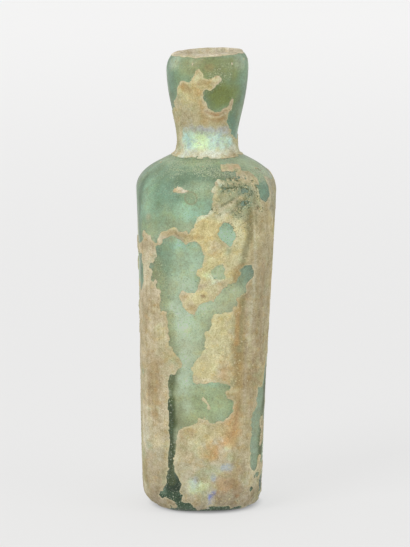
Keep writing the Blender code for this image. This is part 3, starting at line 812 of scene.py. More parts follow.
# painted strokes: colour, width in mm, strength, line of (degrees, height in mm)
crustStrokes = [
    ("umber", 3.2, 0.8, [(29, 72), (29.5, 62), (30, 54), (30, 44)]),
    ("pale", 1.5, 0.6, [(8.2, 94.4), (8, 91), (6, 88.8)]),
    ("chalk", 0.7, 0.25, [(38, 84), (38.5, 70), (38, 56)]),
    ("umber", 0.8, 0.35, [(43, 84), (42, 70), (43, 52)]),
    ("streak", 0.9, 0.5, [(46, 74), (46, 60), (46.5, 48)]), ("rose", 0.8, 0.4, [(33, 66), (33.5, 58)]),
    ("olive", 1.1, 0.55, [(31, 66), (31, 56), (30.5, 48)]),
    ("bloom", 1.3, 0.55, [(27, 62), (28.4, 57), (28.6, 50)]),
    ("olive", 2.0, 0.85, [(35, 88), (35, 81), (32, 77), (30, 74)]),
    ("pale", 1.8, 0.7, [(24, 85), (27.5, 80.5), (27, 76), (24, 73)]),
    ("haze", 1.5, 0.6, [(3.6, 88.2), (-2, 87), (-8, 85.4)]), ("haze", 1.2, 0.3, [(6.5, 97), (6.2, 93.4)]),
    ("umber", 1.6, 0.45, [(29.5, 42), (30, 30), (29, 18), (31, 8)]),
    ("bloom", 2.8, 0.5, [(30, 29), (28.5, 26), (24, 22), (17, 19.6)]),
    ("umber", 2.4, 0.5, [(31.5, 34), (30, 27)]), ("rust", 0.8, 0.35, [(30.5, 33), (30, 27), (25, 22)]),
    ("ochre", 1.4, 0.5, [(31.5, 44), (31, 34)]), ("umber", 1.0, 0.30, [(36, 88), (36, 80), (37, 70)]),
    ("rust", 0.9, 0.6, [(0, 115), (16, 114.2), (33, 115.2)]),
    ("rust", 0.7, 0.45, [(2, 113), (18, 112.2), (34, 113)]),
    ("ochre", 1.6, 0.6, [(-8, 118), (-4, 114.6), (2, 111)]),
    ("cream", 0.5, 0.7, [(2, 114.1), (16, 113.3), (28, 113.8)]),
    ("pale", 1.2, 0.9, [(12, 124.0), (19, 124.4)]),
    ("cream", 0.9, 0.6, [(12, 88.2), (20, 90.4), (30, 92.2)]),
    ("cream", 0.8, 0.55, [(14, 86.6), (24, 88.6), (34, 90.6)]), ("pit", 0.8, 0.6, [(13, 89.6), (22, 91.4)]),
    ("pit", 0.7, 0.6, [(24, 89.4), (33, 91.4)]), ("pit", 0.8, 0.55, [(20, 87.6), (30, 89.6)]),
    ("cream", 0.7, 0.5, [(58.5, 96), (58.5, 90), (53, 87.4)]), ("olive", 1.0, 0.5, [(40, 92), (40, 84)]),
    ("pale", 0.8, 0.5, [(44.6, 96.6), (44.4, 90), (46, 87)]),
    ("umber", 1.7, 0.5, [(-39.5, 45), (-39.5, 36), (-38, 28)]),
    ("umber", 1.4, 0.45, [(28.4, 62), (28.6, 52)]), ("umber", 3.2, 0.45, [(33, 45.4), (33, 38.6)]),
    ("ochre", 1.2, 0.5, [(-32, 81.6), (-22, 82), (-12, 80.6), (-3, 80.6)]),
    ("ochre", 1.2, 0.45, [(-30, 59), (-26, 50), (-21, 45)]),
    ("pale", 1.0, 0.5, [(12, 58), (6, 53), (-1, 47), (-7, 43)]),
    ("pale", 0.9, 0.4, [(-22, 25.2), (-6, 26), (10, 26), (24, 28.6)]),
    ("ochre", 1.0, 0.5, [(4, 61), (10, 62.5), (20, 66.4), (28, 66.6)]),
    ("rose", 0.8, 0.4, [(40, 60), (40.5, 44), (40, 28)]),
    ("grey", 0.7, 0.5, [(35, 70), (35, 50), (35.5, 30)]),
    # back
    ("umber", 1.2, 0.5, [(152, 75), (150, 50), (152, 25)]),
    ("ochre", 1.4, 0.5, [(-150, 70), (-149, 45), (-151, 20)])]

# the same for the glass
glassDabs = [
    ("shoulder", 0, 93, 110, 16, 1.0), ("teal", -34, 93, 6, 4, 0.5), ("teal", -60, 88, 2.4, 9, 0.5),
    ("aqua", -51, 90, 3.4, 7, 0.5), ("teal", 57, 91, 3.4, 9, 0.4), ("aqua", -13, 87, 5.5, 3.6, 0.9),
    ("cyan", -5, 87, 4.4, 2.6, 0.6), ("sage", 0, 101, 110, 1.6, 0.4), ("murk", -12, 97.4, 11, 2.0, 0.4),
    ("murk", 8, 98.4, 8, 1.8, 0.25), ("murk", -22, 94, 5, 3, 0.25), ("aqua", 0, 90.5, 4.4, 3.6, 0.85),
    ("sage", -2, 94, 5, 2.4, 0.4), ("sage", 70, 97, 9, 3, 0.7), ("tan", -46.4, 85.8, 1.2, 1.4, 0.4),
    ("cup", -49, 82, 3, 2, 0.5), ("sage", 50, 100, 5, 2, 0.5), ("cup", 0, 120, 90, 15, 1.0),
    ("cupTop", -12, 127.5, 5, 3, 0.8), ("teal", -66, 126, 3, 7, 0.6), ("teal", 64, 124, 3, 8, 0.5),
    ("oliveCup", 24, 127.6, 5.4, 4, 0.9), ("oliveGlass", 16, 119.8, 5.4, 4.6, 1.0),
    ("umber", 5, 127.6, 1.0, 0.9, 0.5), ("teal", 52, 109.6, 3, 4, 0.9), ("aqua", -12, 74, 10, 8, 0.9),
    ("shoulder", -30, 76, 3, 5, 0.6), ("paleAqua", -11, 75, 5, 5, 0.7), ("paleAqua", -16, 62, 10, 9, 0.9),
    # the silver dab at -20 degrees is a painted highlight, the top of the pale streak down the front panel
    ("cyan", -18, 78, 5, 1.6, 0.5), ("silver", -20, 62, 3.5, 8, 0.5), ("paleAqua", -16, 50, 9, 6, 0.8),
    ("warmAqua", -12, 45.6, 8, 7, 0.7), ("paleAqua", -18, 37, 6, 6, 0.8), ("sage", 0, 32, 12, 8, 0.6),
    ("sageOlive", 9, 32, 9, 6, 0.6), ("strip", 46, 28, 4, 22, 1.0), ("milk", 17, 81, 5.4, 5, 1.0),
    ("pool", 13, 70.5, 4, 3, 1.0), ("pool", 20, 63.5, 4, 2.4, 0.4), ("moss", 21, 97.6, 5, 1.0, 0.45),
    ("shoulder", 32.6, 70.6, 3.4, 3.6, 0.85), ("shoulder", -58, 71, 11, 8, 0.75),
    ("silver", -58, 128.8, 2.2, 2.2, 0.6), ("silver", 58, 128.8, 2.2, 2.4, 0.5),
    # the deepest dabs are partly the thick heel's dark glass and partly painted shade: the shaded hollow of
    # the heel and a dark band where the foot meets the floor
    ("paleAqua", -16, 44, 6, 5, 0.6), ("deepest", -26, 8, 6, 6, 1.0), ("deepest", -24, 3, 16, 5.4, 1.0),
    ("deepest", -40, 5, 9, 6, 1.0), ("deepest", 20, 2.4, 18, 5, 1.0), ("deepest", 55, 6, 8, 5.6, 1.0),
    ("deepest", 0, 0, 140, 3.0, 1.0), ("deepest", 180, 0, 140, 3.0, 1.0),
    ("sageOlive", 25, 31.5, 3, 4, 0.8), ("sageOlive", -14, 29.6, 5, 3.4, 0.7)]

glassStrokes = [
    ("shoulder", 4.0, 0.6, [(-31, 80), (-32, 72), (-33, 64)]),
    ("murk", 2.4, 0.7, [(-65, 96), (-63, 88), (-61, 78)]), ("murk", 3.0, 0.7, [(-54, 76), (-54, 64)]),
    ("teal", 3.0, 0.6, [(-36, 75), (-38, 70)]),
    # painted highlight: a pale silvery streak down the left of the front panel
    ("silver", 5.0, 0.6, [(-17, 58), (-18, 48), (-19, 38), (-19, 31)]),
    ("sageOlive", 3.6, 0.8, [(-37, 74), (-35, 66), (-31, 58), (-27, 48), (-25, 42)]),
    ("moss", 1.2, 0.6, [(-38, 73), (-36, 66), (-32, 59), (-28, 50)]),
    ("sageOlive", 4.4, 0.9, [(-25, 37), (-23.5, 30), (-21, 26.6), (-12, 27)]),
    # the deep and deepest strokes down the left corner are partly thick dark glass and partly painted shade,
    # where the thick corner turns light away
    ("deep", 1.9, 0.8, [(-26.2, 44), (-26, 36), (-26, 30)]),
    ("deep", 2.2, 0.95, [(-26.8, 34), (-26.2, 27), (-25.6, 18), (-27, 10)]),
    ("deepest", 1.4, 0.5, [(-27.4, 34), (-26.6, 26), (-26.6, 18), (-28, 10)]),
    # painted shade: the glass darkens along the right edge of the bare strip, where it is seen at a slant
    ("deep", 2.6, 1.0, [(60, 42), (57.5, 34), (54.6, 27), (53.6, 20), (53.6, 12)]),
    # the two cup strokes are painted shade along the crust's border round the bay of bare glass
    ("teal", 1.6, 0.6, [(-50, 78), (-50, 64)]), ("cup", 1.2, 0.5, [(20, 38), (25.5, 37)]),
    ("cup", 1.2, 0.5, [(25.5, 34), (26.6, 31.5), (24, 28.8)])]

# dust on the glass: degrees round, height, half width and half height in mm, strength
dustDabs = [
    (-30, 99, 9, 3, 0.8), (20, 99, 14, 3, 1.0), (60, 98, 9, 4, 0.8), (-4, 94.6, 6, 4, 0.5),
    (-40, 92, 8, 6, 0.35), (-16, 60, 8, 12, 0.3), (-35, 70, 2, 8, 0.5), (-28, 20, 3, 20, 0.22),
    (74, 97, 9, 4, 0.9), (50, 96, 4, 3, 0.8), (-34, 127.6, 3, 1.6, 0.7), (16, 125, 5, 2.4, 0.75),
    (34, 128, 4, 1.6, 0.6), (180, 95, 30, 8, 0.7), (-110, 95, 14, 6, 0.6)]

# crust so thin that glass shows through as dark specks
thinDabs = [
    (26, 94.6, 11, 5.4, 0.84), (33, 89.8, 7, 5, 0.80), (38, 83, 3, 8, 0.55), (13, 92, 5, 7, 0.7),
    (66, 98, 9, 3, 0.6), (18, 94.4, 3, 2.2, 0.97), (32, 93.2, 3, 2.4, 0.97), (30, 90, 2.4, 1.6, 1.0),
    (30, 84, 5, 7, 0.62), (40, 79, 2, 8, 0.5), (24, 87, 6, 3, 0.55), (-52, 60, 2, 20, 0.3),
    (26, 82, 2.4, 5, 0.35), (8, 78, 3, 4, 0.25), (30, 60, 1.6, 12, 0.3), (24, 6, 5, 4, 0.3),
    (16, 114, 4, 3, 0.25), (120, 90, 9, 6, 0.5), (-100, 84, 8, 4, 0.5), (180, 80, 9, 5, 0.5),
    (-60, 103.4, 9, 1.6, 0.3)]

# shining skin on the crust
gleamDabs = [
    (-2, 105.9, 8.5, 3.7, 1.0), (-20, 105.6, 6, 3.4, 0.9), (25, 106.2, 5.4, 3.2, 0.6), (-4, 8, 4, 3, 0.25),
    (14, 12, 5, 4, 0.3), (26, 14, 2, 3, 0.3), (-3, 48, 3, 3, 0.2), (150, 30, 10, 8, 0.4),
    (-120, 20, 9, 8, 0.35), (170, 104, 8, 4, 0.5)]


def hues(name, count):
    return np.tile(hue(name), (count, 1))


def drifts(points, size, seed, low, high):
    # broad patches, 0 outside them and 1 within
    return softStep(cloud(points, size, seed, 3), low, high)


def crustTone(points, around, height):
    # sand with broad drifts of other earths, then the painted marks
    colour = tinted(hues("sand", len(points)), "khaki", drifts(points, 0.016, 41, 0.38, 0.62))
    for name, size, seed, strength in (
            ("straw", 0.010, 42, 0.6), ("rose", 0.007, 44, 0.6), ("greenish", 0.008, 45, 0.6),
            ("ochre", 0.006, 46, 0.5), ("cream", 0.004, 47, 0.5)):
        colour = tinted(colour, name, drifts(points, size, seed, 0.52, 0.70) * strength)
    wander = wanderOf(points, 0.0035, 43) + 0.6 * wanderOf(points, 0.0014, 48)
    colour = paint(colour, around, height, wander, crustDabs)
    colour = paintStrokes(colour, around, height, wander, crustStrokes)
    # painted shade: the crust darkens towards the foot, standing in both for the shade under the curving heel
    # and for dirt at the foot
    foot = softStep(height + 0.0012 * wander, crust["shadeHeight"], 0.0004)[:, None]
    return colour * (1.0 - foot * np.array(crust["warmShade"]))


def glassTone(points, around, height):
    colour = tinted(hues("sage", len(points)), "aqua", drifts(points, 0.020, 51, 0.40, 0.62))
    colour = paint(colour, around, height, 0.7 * wanderOf(points, 0.006, 53), glassDabs)
    colour = paintStrokes(colour, around, height, wanderOf(points, 0.003, 54), glassStrokes)
    cloudy = 1.0 + (cloud(points, 0.0050, 55, 4) - 0.5) * 0.55
    return colour * cloudy[:, None]


# shader groups shared by the finishes

def mixColour(tree, share, first, second, blend="MIX"):
    node = addNode(tree, "ShaderNodeMix", data_type="RGBA", blend_type=blend)
    return liveSocket(feed(tree, node, Factor=share, A=first, B=second).outputs)


def dyed(tree, share, colour, dye):
    # multiplies a colour by another, by a share
    return mixColour(tree, share, colour, mixColour(tree, 1.0, colour, dye, "MULTIPLY"))


def screen(name):
    return tuple(hue(name)) + (1.0,)


def shaderGroup(name, inputs, output):
    # takes a place, a colour and the listed inputs; gives a colour and one value
    listed = [("Place", vector, None), ("Colour", shade, (0.5, 0.5, 0.5, 1.0))]
    listed += [(label, shade if isinstance(value, tuple) else real, value)
               for label, value in inputs.items()]
    return openTree(name, "ShaderNodeTree", listed, [("Colour", shade), (output, real)])


def grainGroup():
    # broken colour and relief of a sandy crust
    tree, given, out = shaderGroup(
        "sandyGrain", {"Contrast": 1.0, "Drawn": 0.0, "Grain Size": 0.0004}, "Height")
    scale = sums(tree, "DIVIDE", 1.0, given["Grain Size"])

    def layer(share, *settings, place=given["Place"]):
        # noise at a share of the grain's scale
        return noiseOf(tree, place, times(tree, scale, share), *settings)

    middle, fine = layer(0.45, 3.0, 0.6, 0.4), layer(1.2, 3.0, 0.75)
    drawn = addNode(tree, "ShaderNodeMapping", given["Place"], None, None, (1.0, 1.0, 0.07))
    streaks = layer(0.34, 4.0, 0.65, place=drawn)
    value = times(tree, minus(tree, layer(0.11, 4.0, 0.6), 0.5), 0.60)
    for noise, weight in ((middle, 0.38), (fine, 0.95), (streaks, given["Drawn"])):
        value = sums(tree, "MULTIPLY_ADD", minus(tree, noise, 0.5), weight, value)
    value = sums(tree, "MULTIPLY_ADD", value, given["Contrast"], 1.0)
    grey = addNode(tree, "ShaderNodeCombineColor", value, sums(tree, "POWER", value, 1.12),
                   sums(tree, "POWER", value, 1.45))
    lit = mixColour(tree, 1.0, given["Colour"], grey, "MULTIPLY")
    warm = times(tree, easing(tree, layer(0.2, 3.0, 0.6), 0.50, 0.66), 0.40)
    lit = dyed(tree, times(tree, warm, given["Contrast"]), lit, (1.05, 0.94, 0.74, 1.0))
    cool = times(tree, easing(tree, layer(0.17, 3.0, 0.6), 0.36, 0.50, 1.0, 0.0), 0.35)
    lit = dyed(tree, times(tree, cool, given["Contrast"]), lit, (0.96, 1.04, 0.98, 1.0))
    specks = easing(tree, layer(0.62, 2.0, 0.5), 0.68, 0.76)
    lit = dyed(tree, times(tree, specks, 0.45), lit, (0.52, 0.46, 0.36, 1.0))
    wire(tree, lit, out["Colour"])
    height = sums(tree, "MULTIPLY_ADD", middle, 0.6, times(tree, fine, 0.4))
    wire(tree, minus(tree, height, times(tree, specks, 0.3)), out["Height"])
    return tree


def rainbowGroup():
    # thin weathered skin that shines mint, mauve, lime and cream in turn
    tree, given, out = shaderGroup("rainbowSkin", {"Gleam": 0.0, "Band Size": 0.003}, "Mask")
    scale = sums(tree, "DIVIDE", 1.0, given["Band Size"])
    ramp = addNode(tree, "ShaderNodeValToRGB", noiseOf(tree, given["Place"], scale, 3.0, 0.6, 0.5))
    stops = ramp.color_ramp.elements
    stops[0].position, stops[0].color = 0.30, screen("mint")
    stops[1].position, stops[1].color = 0.72, screen("cream")
    for place, name in ((0.40, "mauve"), (0.47, "mint"), (0.55, "lime"), (0.62, "mint")):
        stops.new(place).color = screen(name)
    broken = noiseOf(tree, given["Place"], times(tree, scale, 7.0), 4.0, 0.7)
    mask = times(tree, given["Gleam"], easing(tree, broken, 0.30, 0.60, 0.45))
    wire(tree, mixColour(tree, times(tree, mask, 0.42), given["Colour"], ramp.outputs[0]), out["Colour"])
    wire(tree, mask, out["Mask"])
    return tree


def speckGroup():
    # small specks of two colours, more of them where the share is higher
    tree, given, out = shaderGroup("scatteredSpecks", {
        "Share": 0.0, "Speck Size": 0.0005, "First": (0.2, 0.3, 0.2, 1.0),
        "Second": (0.1, 0.1, 0.1, 1.0)}, "Mask")
    scale = sums(tree, "DIVIDE", 1.0, given["Speck Size"])
    noise = noiseOf(tree, given["Place"], scale, 3.0, 0.6)
    level = sums(tree, "MULTIPLY_ADD", given["Share"], 0.42, 0.16)
    mask = times(tree, easing(tree, minus(tree, level, noise), 0.0, 0.06), 0.92)
    which = easing(tree, noiseOf(tree, given["Place"], times(tree, scale, 0.3), 3.0, 0.6), 0.42, 0.62)
    either = mixColour(tree, which, given["First"], given["Second"])
    wire(tree, mixColour(tree, mask, given["Colour"], either), out["Colour"])
    wire(tree, mask, out["Mask"])
    return tree


def groupNode(tree, group, **values):
    return feed(tree, addNode(tree, "ShaderNodeGroup", node_tree=group), **values)


def newFinish(name):
    material = bpy.data.materials.new(name)
    material.use_nodes = True
    tree = material.node_tree
    place = addNode(tree, "ShaderNodeTexCoord").outputs["Object"]
    return material, tree, tree.nodes["Principled BSDF"], place


def attributeOf(tree, name, output="Fac"):
    return addNode(tree, "ShaderNodeAttribute", attribute_name=name).outputs[output]


def relief(tree, height, depth):
    return feed(tree, addNode(tree, "ShaderNodeBump"), Height=height, Distance=depth, Strength=1.0)


def crustFinish(grain, rainbow, specks):
    material, tree, shader, place = newFinish("weatheredCrust")
    sandy = groupNode(tree, grain, Place=place, Colour=attributeOf(tree, "tone", "Color"), Contrast=1.5,
                      Drawn=attributeOf(tree, "drawn"), Grain_Size=0.0004)
    edge = attributeOf(tree, "edge")
    which = easing(tree, noiseOf(tree, place, 170.0, 3.0), 0.42, 0.58)
    edged = mixColour(tree, times(tree, edge, 0.55), sandy.outputs["Colour"],
                      mixColour(tree, which, screen("cream"), screen("pale")))
    bare = attributeOf(tree, "thin")
    lively = easing(tree, noiseOf(tree, place, 150.0, 3.0), 0.35, 0.65, 0.42, 0.58)
    flecked = groupNode(tree, specks, Place=addNode(tree, "ShaderNodeMapping", place, (0.27, 0.41, 0.13)),
                        Colour=edged, Share=sums(tree, "MAXIMUM", lively, times(tree, bare, 0.80)),
                        Speck_Size=0.00055, First=screen("sand"), Second=screen("gold"))
    thin = sums(tree, "MULTIPLY_ADD", edge, 0.30, bare)
    worn = groupNode(tree, specks, Place=place, Colour=flecked.outputs["Colour"],
                     Share=sums(tree, "MAXIMUM", thin, 0.36), Speck_Size=0.00044, First=screen("moss"),
                     Second=screen("pit"))
    shining = groupNode(tree, rainbow, Place=place, Colour=worn.outputs["Colour"],
                        Gleam=attributeOf(tree, "gleam"), Band_Size=0.0016)
    feed(tree, shader, Base_Color=shining.outputs["Colour"], Specular_IOR_Level=0.35,
         Roughness=sums(tree, "MULTIPLY_ADD", shining.outputs["Mask"], -0.42, 0.86),
         Normal=relief(tree, sandy.outputs["Height"], 0.00022))
    return material


def filmFinish(grain):
    material, tree, shader, place = newFinish("innerFilm")
    sandy = groupNode(tree, grain, Place=place, Colour=attributeOf(tree, "tone", "Color"), Contrast=0.35,
                      Grain_Size=0.0011)
    feed(tree, shader, Base_Color=sandy.outputs["Colour"], Roughness=0.8,
         Normal=relief(tree, sandy.outputs["Height"], 0.00010))
    return material


def glassFinish(grain, specks):
    material, tree, shader, place = newFinish("agedGlass")
    sandy = groupNode(tree, grain, Place=place, Colour=attributeOf(tree, "tone", "Color"), Contrast=1.35,
                      Grain_Size=0.0005)
    radius = glass["bubbleRadius"]
    distance = addNode(tree, "ShaderNodeVectorMath", place, glass["bubblePlace"], operation="DISTANCE")
    ring = distance.outputs["Value"]
    inside = easing(tree, ring, radius * 0.80, radius * 0.93)
    outside = easing(tree, ring, radius * 1.02, radius * 1.15, 1.0, 0.0)
    ringed = mixColour(tree, times(tree, sums(tree, "MULTIPLY_ADD", inside, 0.45, 0.25), outside),
                       sandy.outputs["Colour"], screen("olive"))
    dusty = attributeOf(tree, "dust")
    pitted = groupNode(tree, specks, Place=place, Colour=ringed,
                       Share=sums(tree, "MULTIPLY_ADD", dusty, 0.25, 0.46), Speck_Size=0.00036,
                       First=screen("teal"), Second=screen("murk"))
    dusted = groupNode(tree, specks, Place=addNode(tree, "ShaderNodeMapping", place, (0.31, 0.17, 0.23)),
                       Colour=pitted.outputs["Colour"], Share=sums(tree, "MULTIPLY_ADD", dusty, 0.45, 0.43),
                       Speck_Size=0.00034, First=screen("dusting"), Second=screen("sage"))
    lit = mixColour(tree, 1.0, dusted.outputs["Colour"], glass["brightening"], "MULTIPLY")
    matt = easing(tree, noiseOf(tree, place, 260.0, 4.0, 0.6), 0.35, 0.65, 0.36, 0.52)
    feed(tree, shader, Base_Color=lit, Roughness=matt, Transmission_Weight=glass["clearness"],
         IOR=glass["refraction"], Normal=relief(tree, sandy.outputs["Height"], 0.00008))
    return material


glass = {
    "bubblePlace": (-0.0041, -0.0190, 0.0917), "bubbleRadius": 0.0019,  # an open bubble on the shoulder
    "clearness": 0.60, "refraction": 1.50, "brightening": (1.75, 1.75, 1.72, 1.0),
    "nearDust": 0.48, "nearFrom": 0.0020, "nearFull": 0.0002}  # dust close to the crust
grain, rainbow, specks = grainGroup(), rainbowGroup(), speckGroup()
crustMaterial = crustFinish(grain, rainbow, specks)
filmMaterial = filmFinish(grain)
glassMaterial = glassFinish(grain, specks)
print("finishes made")


# glass body

vesselLoft = loftTree()
glassLine = shrink(outerProfile(vessel), vessel["skin"])
glassBody = loft(vesselLoft, "glassBody", glassLine + innerProfile(vessel), vessel["sides"], vessel["rows"],
                 vessel["weld"], glassMaterial)


def dressGlass(mesh, points):
    # colour and dust, which also gathers close to the crust
    around, height = aroundOf(points), points[:, 2]
    away = -crustCover(points, around, height)
    nearCrust = glass["nearDust"] * softStep(away, glass["nearFrom"], glass["nearFull"])
    dust = np.maximum(fieldOf(dustDabs, points, around, height, 63), nearCrust)
    storeFields(mesh, {"dust": dust}, {"tone": glassTone(points, around, height)})


dressGlass(glassBody.data, coordinates(glassBody))
print("glass body", len(glassBody.data.polygons), "faces")


# crust shells

def crustPieces():
    v = crust
    points, normal = surfaceGrid(vesselLoft, "crustGrid", glassLine, v["columns"], v["rows"])
    triangles = gridTriangles(v["columns"], v["rows"], 0)
    around, height = aroundOf(points), points[:, 2]
    cover = crustCover(points, around, height)
    settled = softStep(cover, 0.0, v["ramp"])
    lip = np.exp(-((cover - v["ramp"] * 0.6) / (v["ramp"] * 0.35)) ** 2)
    thick = (v["edge"] + (v["body"] - v["edge"]) * settled + v["lip"] * lip
             + v["swell"] * wanderOf(points, v["swellSize"], 21) * settled
             + v["grit"] * wanderOf(points, v["gritSize"], 22, 2) * settled)
    thick = np.maximum(thick, v["edge"] * 0.6)
    drawn = softStep(np.abs(around), v["grainyFrom"], v["grainyFull"]) * softStep(height, 0.092, 0.080)
    patchy = 0.35 + 0.65 * softStep(cloud(points, 0.012, 64, 2), 0.35, 0.65)
    fields = {"edge": 1.0 - softStep(cover, 0.0, v["ramp"] * 0.9),
              "gleam": fieldOf(gleamDabs, points, around, height, 61),
              "thin": fieldOf(thinDabs, points, around, height, 62),
              "drawn": 0.12 + 0.48 * drawn * patchy}
    colours = {"tone": crustTone(points, around, height)}
    middle = points[triangles].mean(1)
    onNeck = middle[:, 2] > v["neckFrom"]
    front = np.abs(aroundOf(middle)) < v["backFrom"]
    made = []
    parts = (("frontCrust", ~onNeck & front), ("backCrust", ~onNeck & ~front), ("neckCrust", onNeck))
    for name, chosen in parts:
        piece = shell(name, points, normal, triangles[chosen], cover, thick, fields, colours, crustMaterial,
                      v["bury"])
        print(name, len(piece.data.polygons), "triangles")
        made.append(piece)
    return made


crusts = crustPieces()


# crust on the rim, and the film on the inside walls

rim = {
    "columns": 260, "rows": 70, "from": -0.004, "to": 0.012,  # stretch along the wall, 0 at the rim's edge
    "thin": 0.00006, "thick": 0.00020, "bury": 0.00006, "outerReach": 0.0011, "innerReach": 0.0062,
    "reachWander": 0.0030}
film = {"columns": 180, "rows": 210, "from": 0.0027, "thin": 0.00004, "thick": 0.00012, "bury": 0.00006}


def profileFrom(points, first, last):
    # the stretch of a profile between two lengths along it
    line = np.array(points)
    along = np.concatenate([[0.0], np.cumsum(np.linalg.norm(np.diff(line, axis=0), axis=1))])
    chosen = (along > first) & (along < last)
    ends = [[np.interp(at, along, line[:, axis]) for axis in (0, 1)] for at in (first, last)]
    return [tuple(ends[0])] + [tuple(p) for p in line[chosen]] + [tuple(ends[1])]


def lengthOf(points):
    return float(np.linalg.norm(np.diff(np.array(points), axis=0), axis=1).sum())


def reachDown(points):
    # how far the rim's crust runs down the inside; the film begins there
    ring = points * np.array([1.0, 1.0, 0.0])
    ring = ring / (np.linalg.norm(ring, axis=1, keepdims=True) + 1e-9) * 0.007
    return rim["innerReach"] + wanderOf(ring, 0.0045, 71) * rim["reachWander"]


def rimCrustPiece():
    v = rim
    edge = lengthOf(glassLine)
    line = profileFrom(glassLine + innerProfile(vessel), edge + v["from"], edge + v["to"])
    points, normal = surfaceGrid(vesselLoft, "rimGrid", line, v["columns"], v["rows"])
    triangles = gridTriangles(v["columns"], v["rows"], -1)
    along = np.tile(np.linspace(v["from"], v["to"], v["rows"]), v["columns"])
    wander = wanderOf(points, 0.0016, 72) * 0.0008
    cover = np.minimum(along + v["outerReach"], reachDown(points) - along) + wander
    flecks = (cloud(points, 0.0009, 73, 2) - 0.78) * 0.003
    cover = np.where(along < 0.0, np.maximum(cover, flecks), cover)
    settled = softStep(cover, 0.0, 0.0006)
    thick = v["thin"] + (v["thick"] + wanderOf(points, 0.0016, 74) * 0.00011) * settled
    colour = tinted(hues("rim", len(points)), "streak", drifts(points, 0.003, 75, 0.45, 0.7) * 0.4)
    colour = tinted(colour, "mouth", drifts(points, 0.0022, 76, 0.52, 0.72) * 0.7)
    # painted light: the crust turns paler down the inside of the mouth, to make up for the shade there
    colour = tinted(colour, "mouth", softStep(along, 0.0012, 0.0036))
    none = np.zeros(len(points))
    fields = {"edge": 1.0 - settled, "gleam": none, "thin": none, "drawn": none}
    return shell("rimCrust", points, normal, triangles, cover, thick, fields, {"tone": colour}, crustMaterial,
                 v["bury"])


# dabs on the film, as on the crust; the deep ones are painted shade: dark film down the left corner and at
# the heel, where the inside lies in shade
filmDabs = [
    ("oliveGlass", 18, 121, 8, 9, 0.8), ("deep", -27, 26, 3, 18, 0.9), ("greenish", 0, 118, 70, 16, 0.6),
    ("mint", -30, 90, 26, 14, 0.8), ("haze", -12, 58, 12, 16, 0.8), ("haze", -16, 38, 9, 8, 0.7),
    ("olive", 42, 80, 6, 20, 0.5), ("deep", -28, 20, 2.5, 22, 0.8), ("deep", -28, 8, 4.5, 6, 1.0),
    ("deep", -24, 3, 8, 4, 1.0), ("olive", 90, 40, 8, 20, 0.4), ("gold", 180, 50, 14, 20, 0.5)]


def filmPiece():
    v = film
    wall = innerProfile(vessel)
    line = profileFrom(wall, v["from"], lengthOf(wall))
    points, normal = surfaceGrid(vesselLoft, "filmGrid", line, v["columns"], v["rows"])
    triangles = gridTriangles(v["columns"], v["rows"], v["rows"] - 1)
    along = np.tile(np.linspace(v["from"], v["from"] + lengthOf(line), v["rows"]), v["columns"])
    cover = along + vessel["rimEdge"] - vessel["lipEdge"] - reachDown(points) - 0.0003
    settled = softStep(cover, 0.0, 0.0008)
    thick = v["thin"] + v["thick"] * settled * (0.6 + 0.8 * cloud(points, 0.003, 81, 3))
    colour = tinted(hues("cream", len(points)), "mint", drifts(points, 0.018, 82, 0.40, 0.64))
    colour = paint(colour, aroundOf(points), points[:, 2], wanderOf(points, 0.006, 83), filmDabs)
    return shell("innerFilm", points, normal, triangles, cover, thick, {}, {"tone": colour}, filmMaterial,
                 v["bury"])


rimCrust = rimCrustPiece()
innerFilm = filmPiece()
print("rim", len(rimCrust.data.polygons), "film", len(innerFilm.data.polygons), "triangles")


# sand grains stuck to the crust

grains = {"perSquareMetre": 620000.0, "smallest": 0.00006, "largest": 0.00015, "seed": 5}


def grainFinish():
    material, tree, shader, place = newFinish("sandGrain")
    tone = attributeOf(tree, "tone", "Color")
    dark = mixColour(tree, 1.0, tone, (0.62, 0.56, 0.46, 1.0), "MULTIPLY")
    colour = mixColour(tree, attributeOf(tree, "shade"), dark, mixColour(tree, 0.28, tone, screen("cream")))
    mottle = easing(tree, noiseOf(tree, place, 5200.0, 2.0), 0.3, 0.7, 0.85, 1.12)
    grey = addNode(tree, "ShaderNodeCombineColor", mottle, mottle, mottle)
    feed(tree, shader, Base_Color=mixColour(tree, 1.0, colour, grey, "MULTIPLY"), Roughness=0.8)
    return material


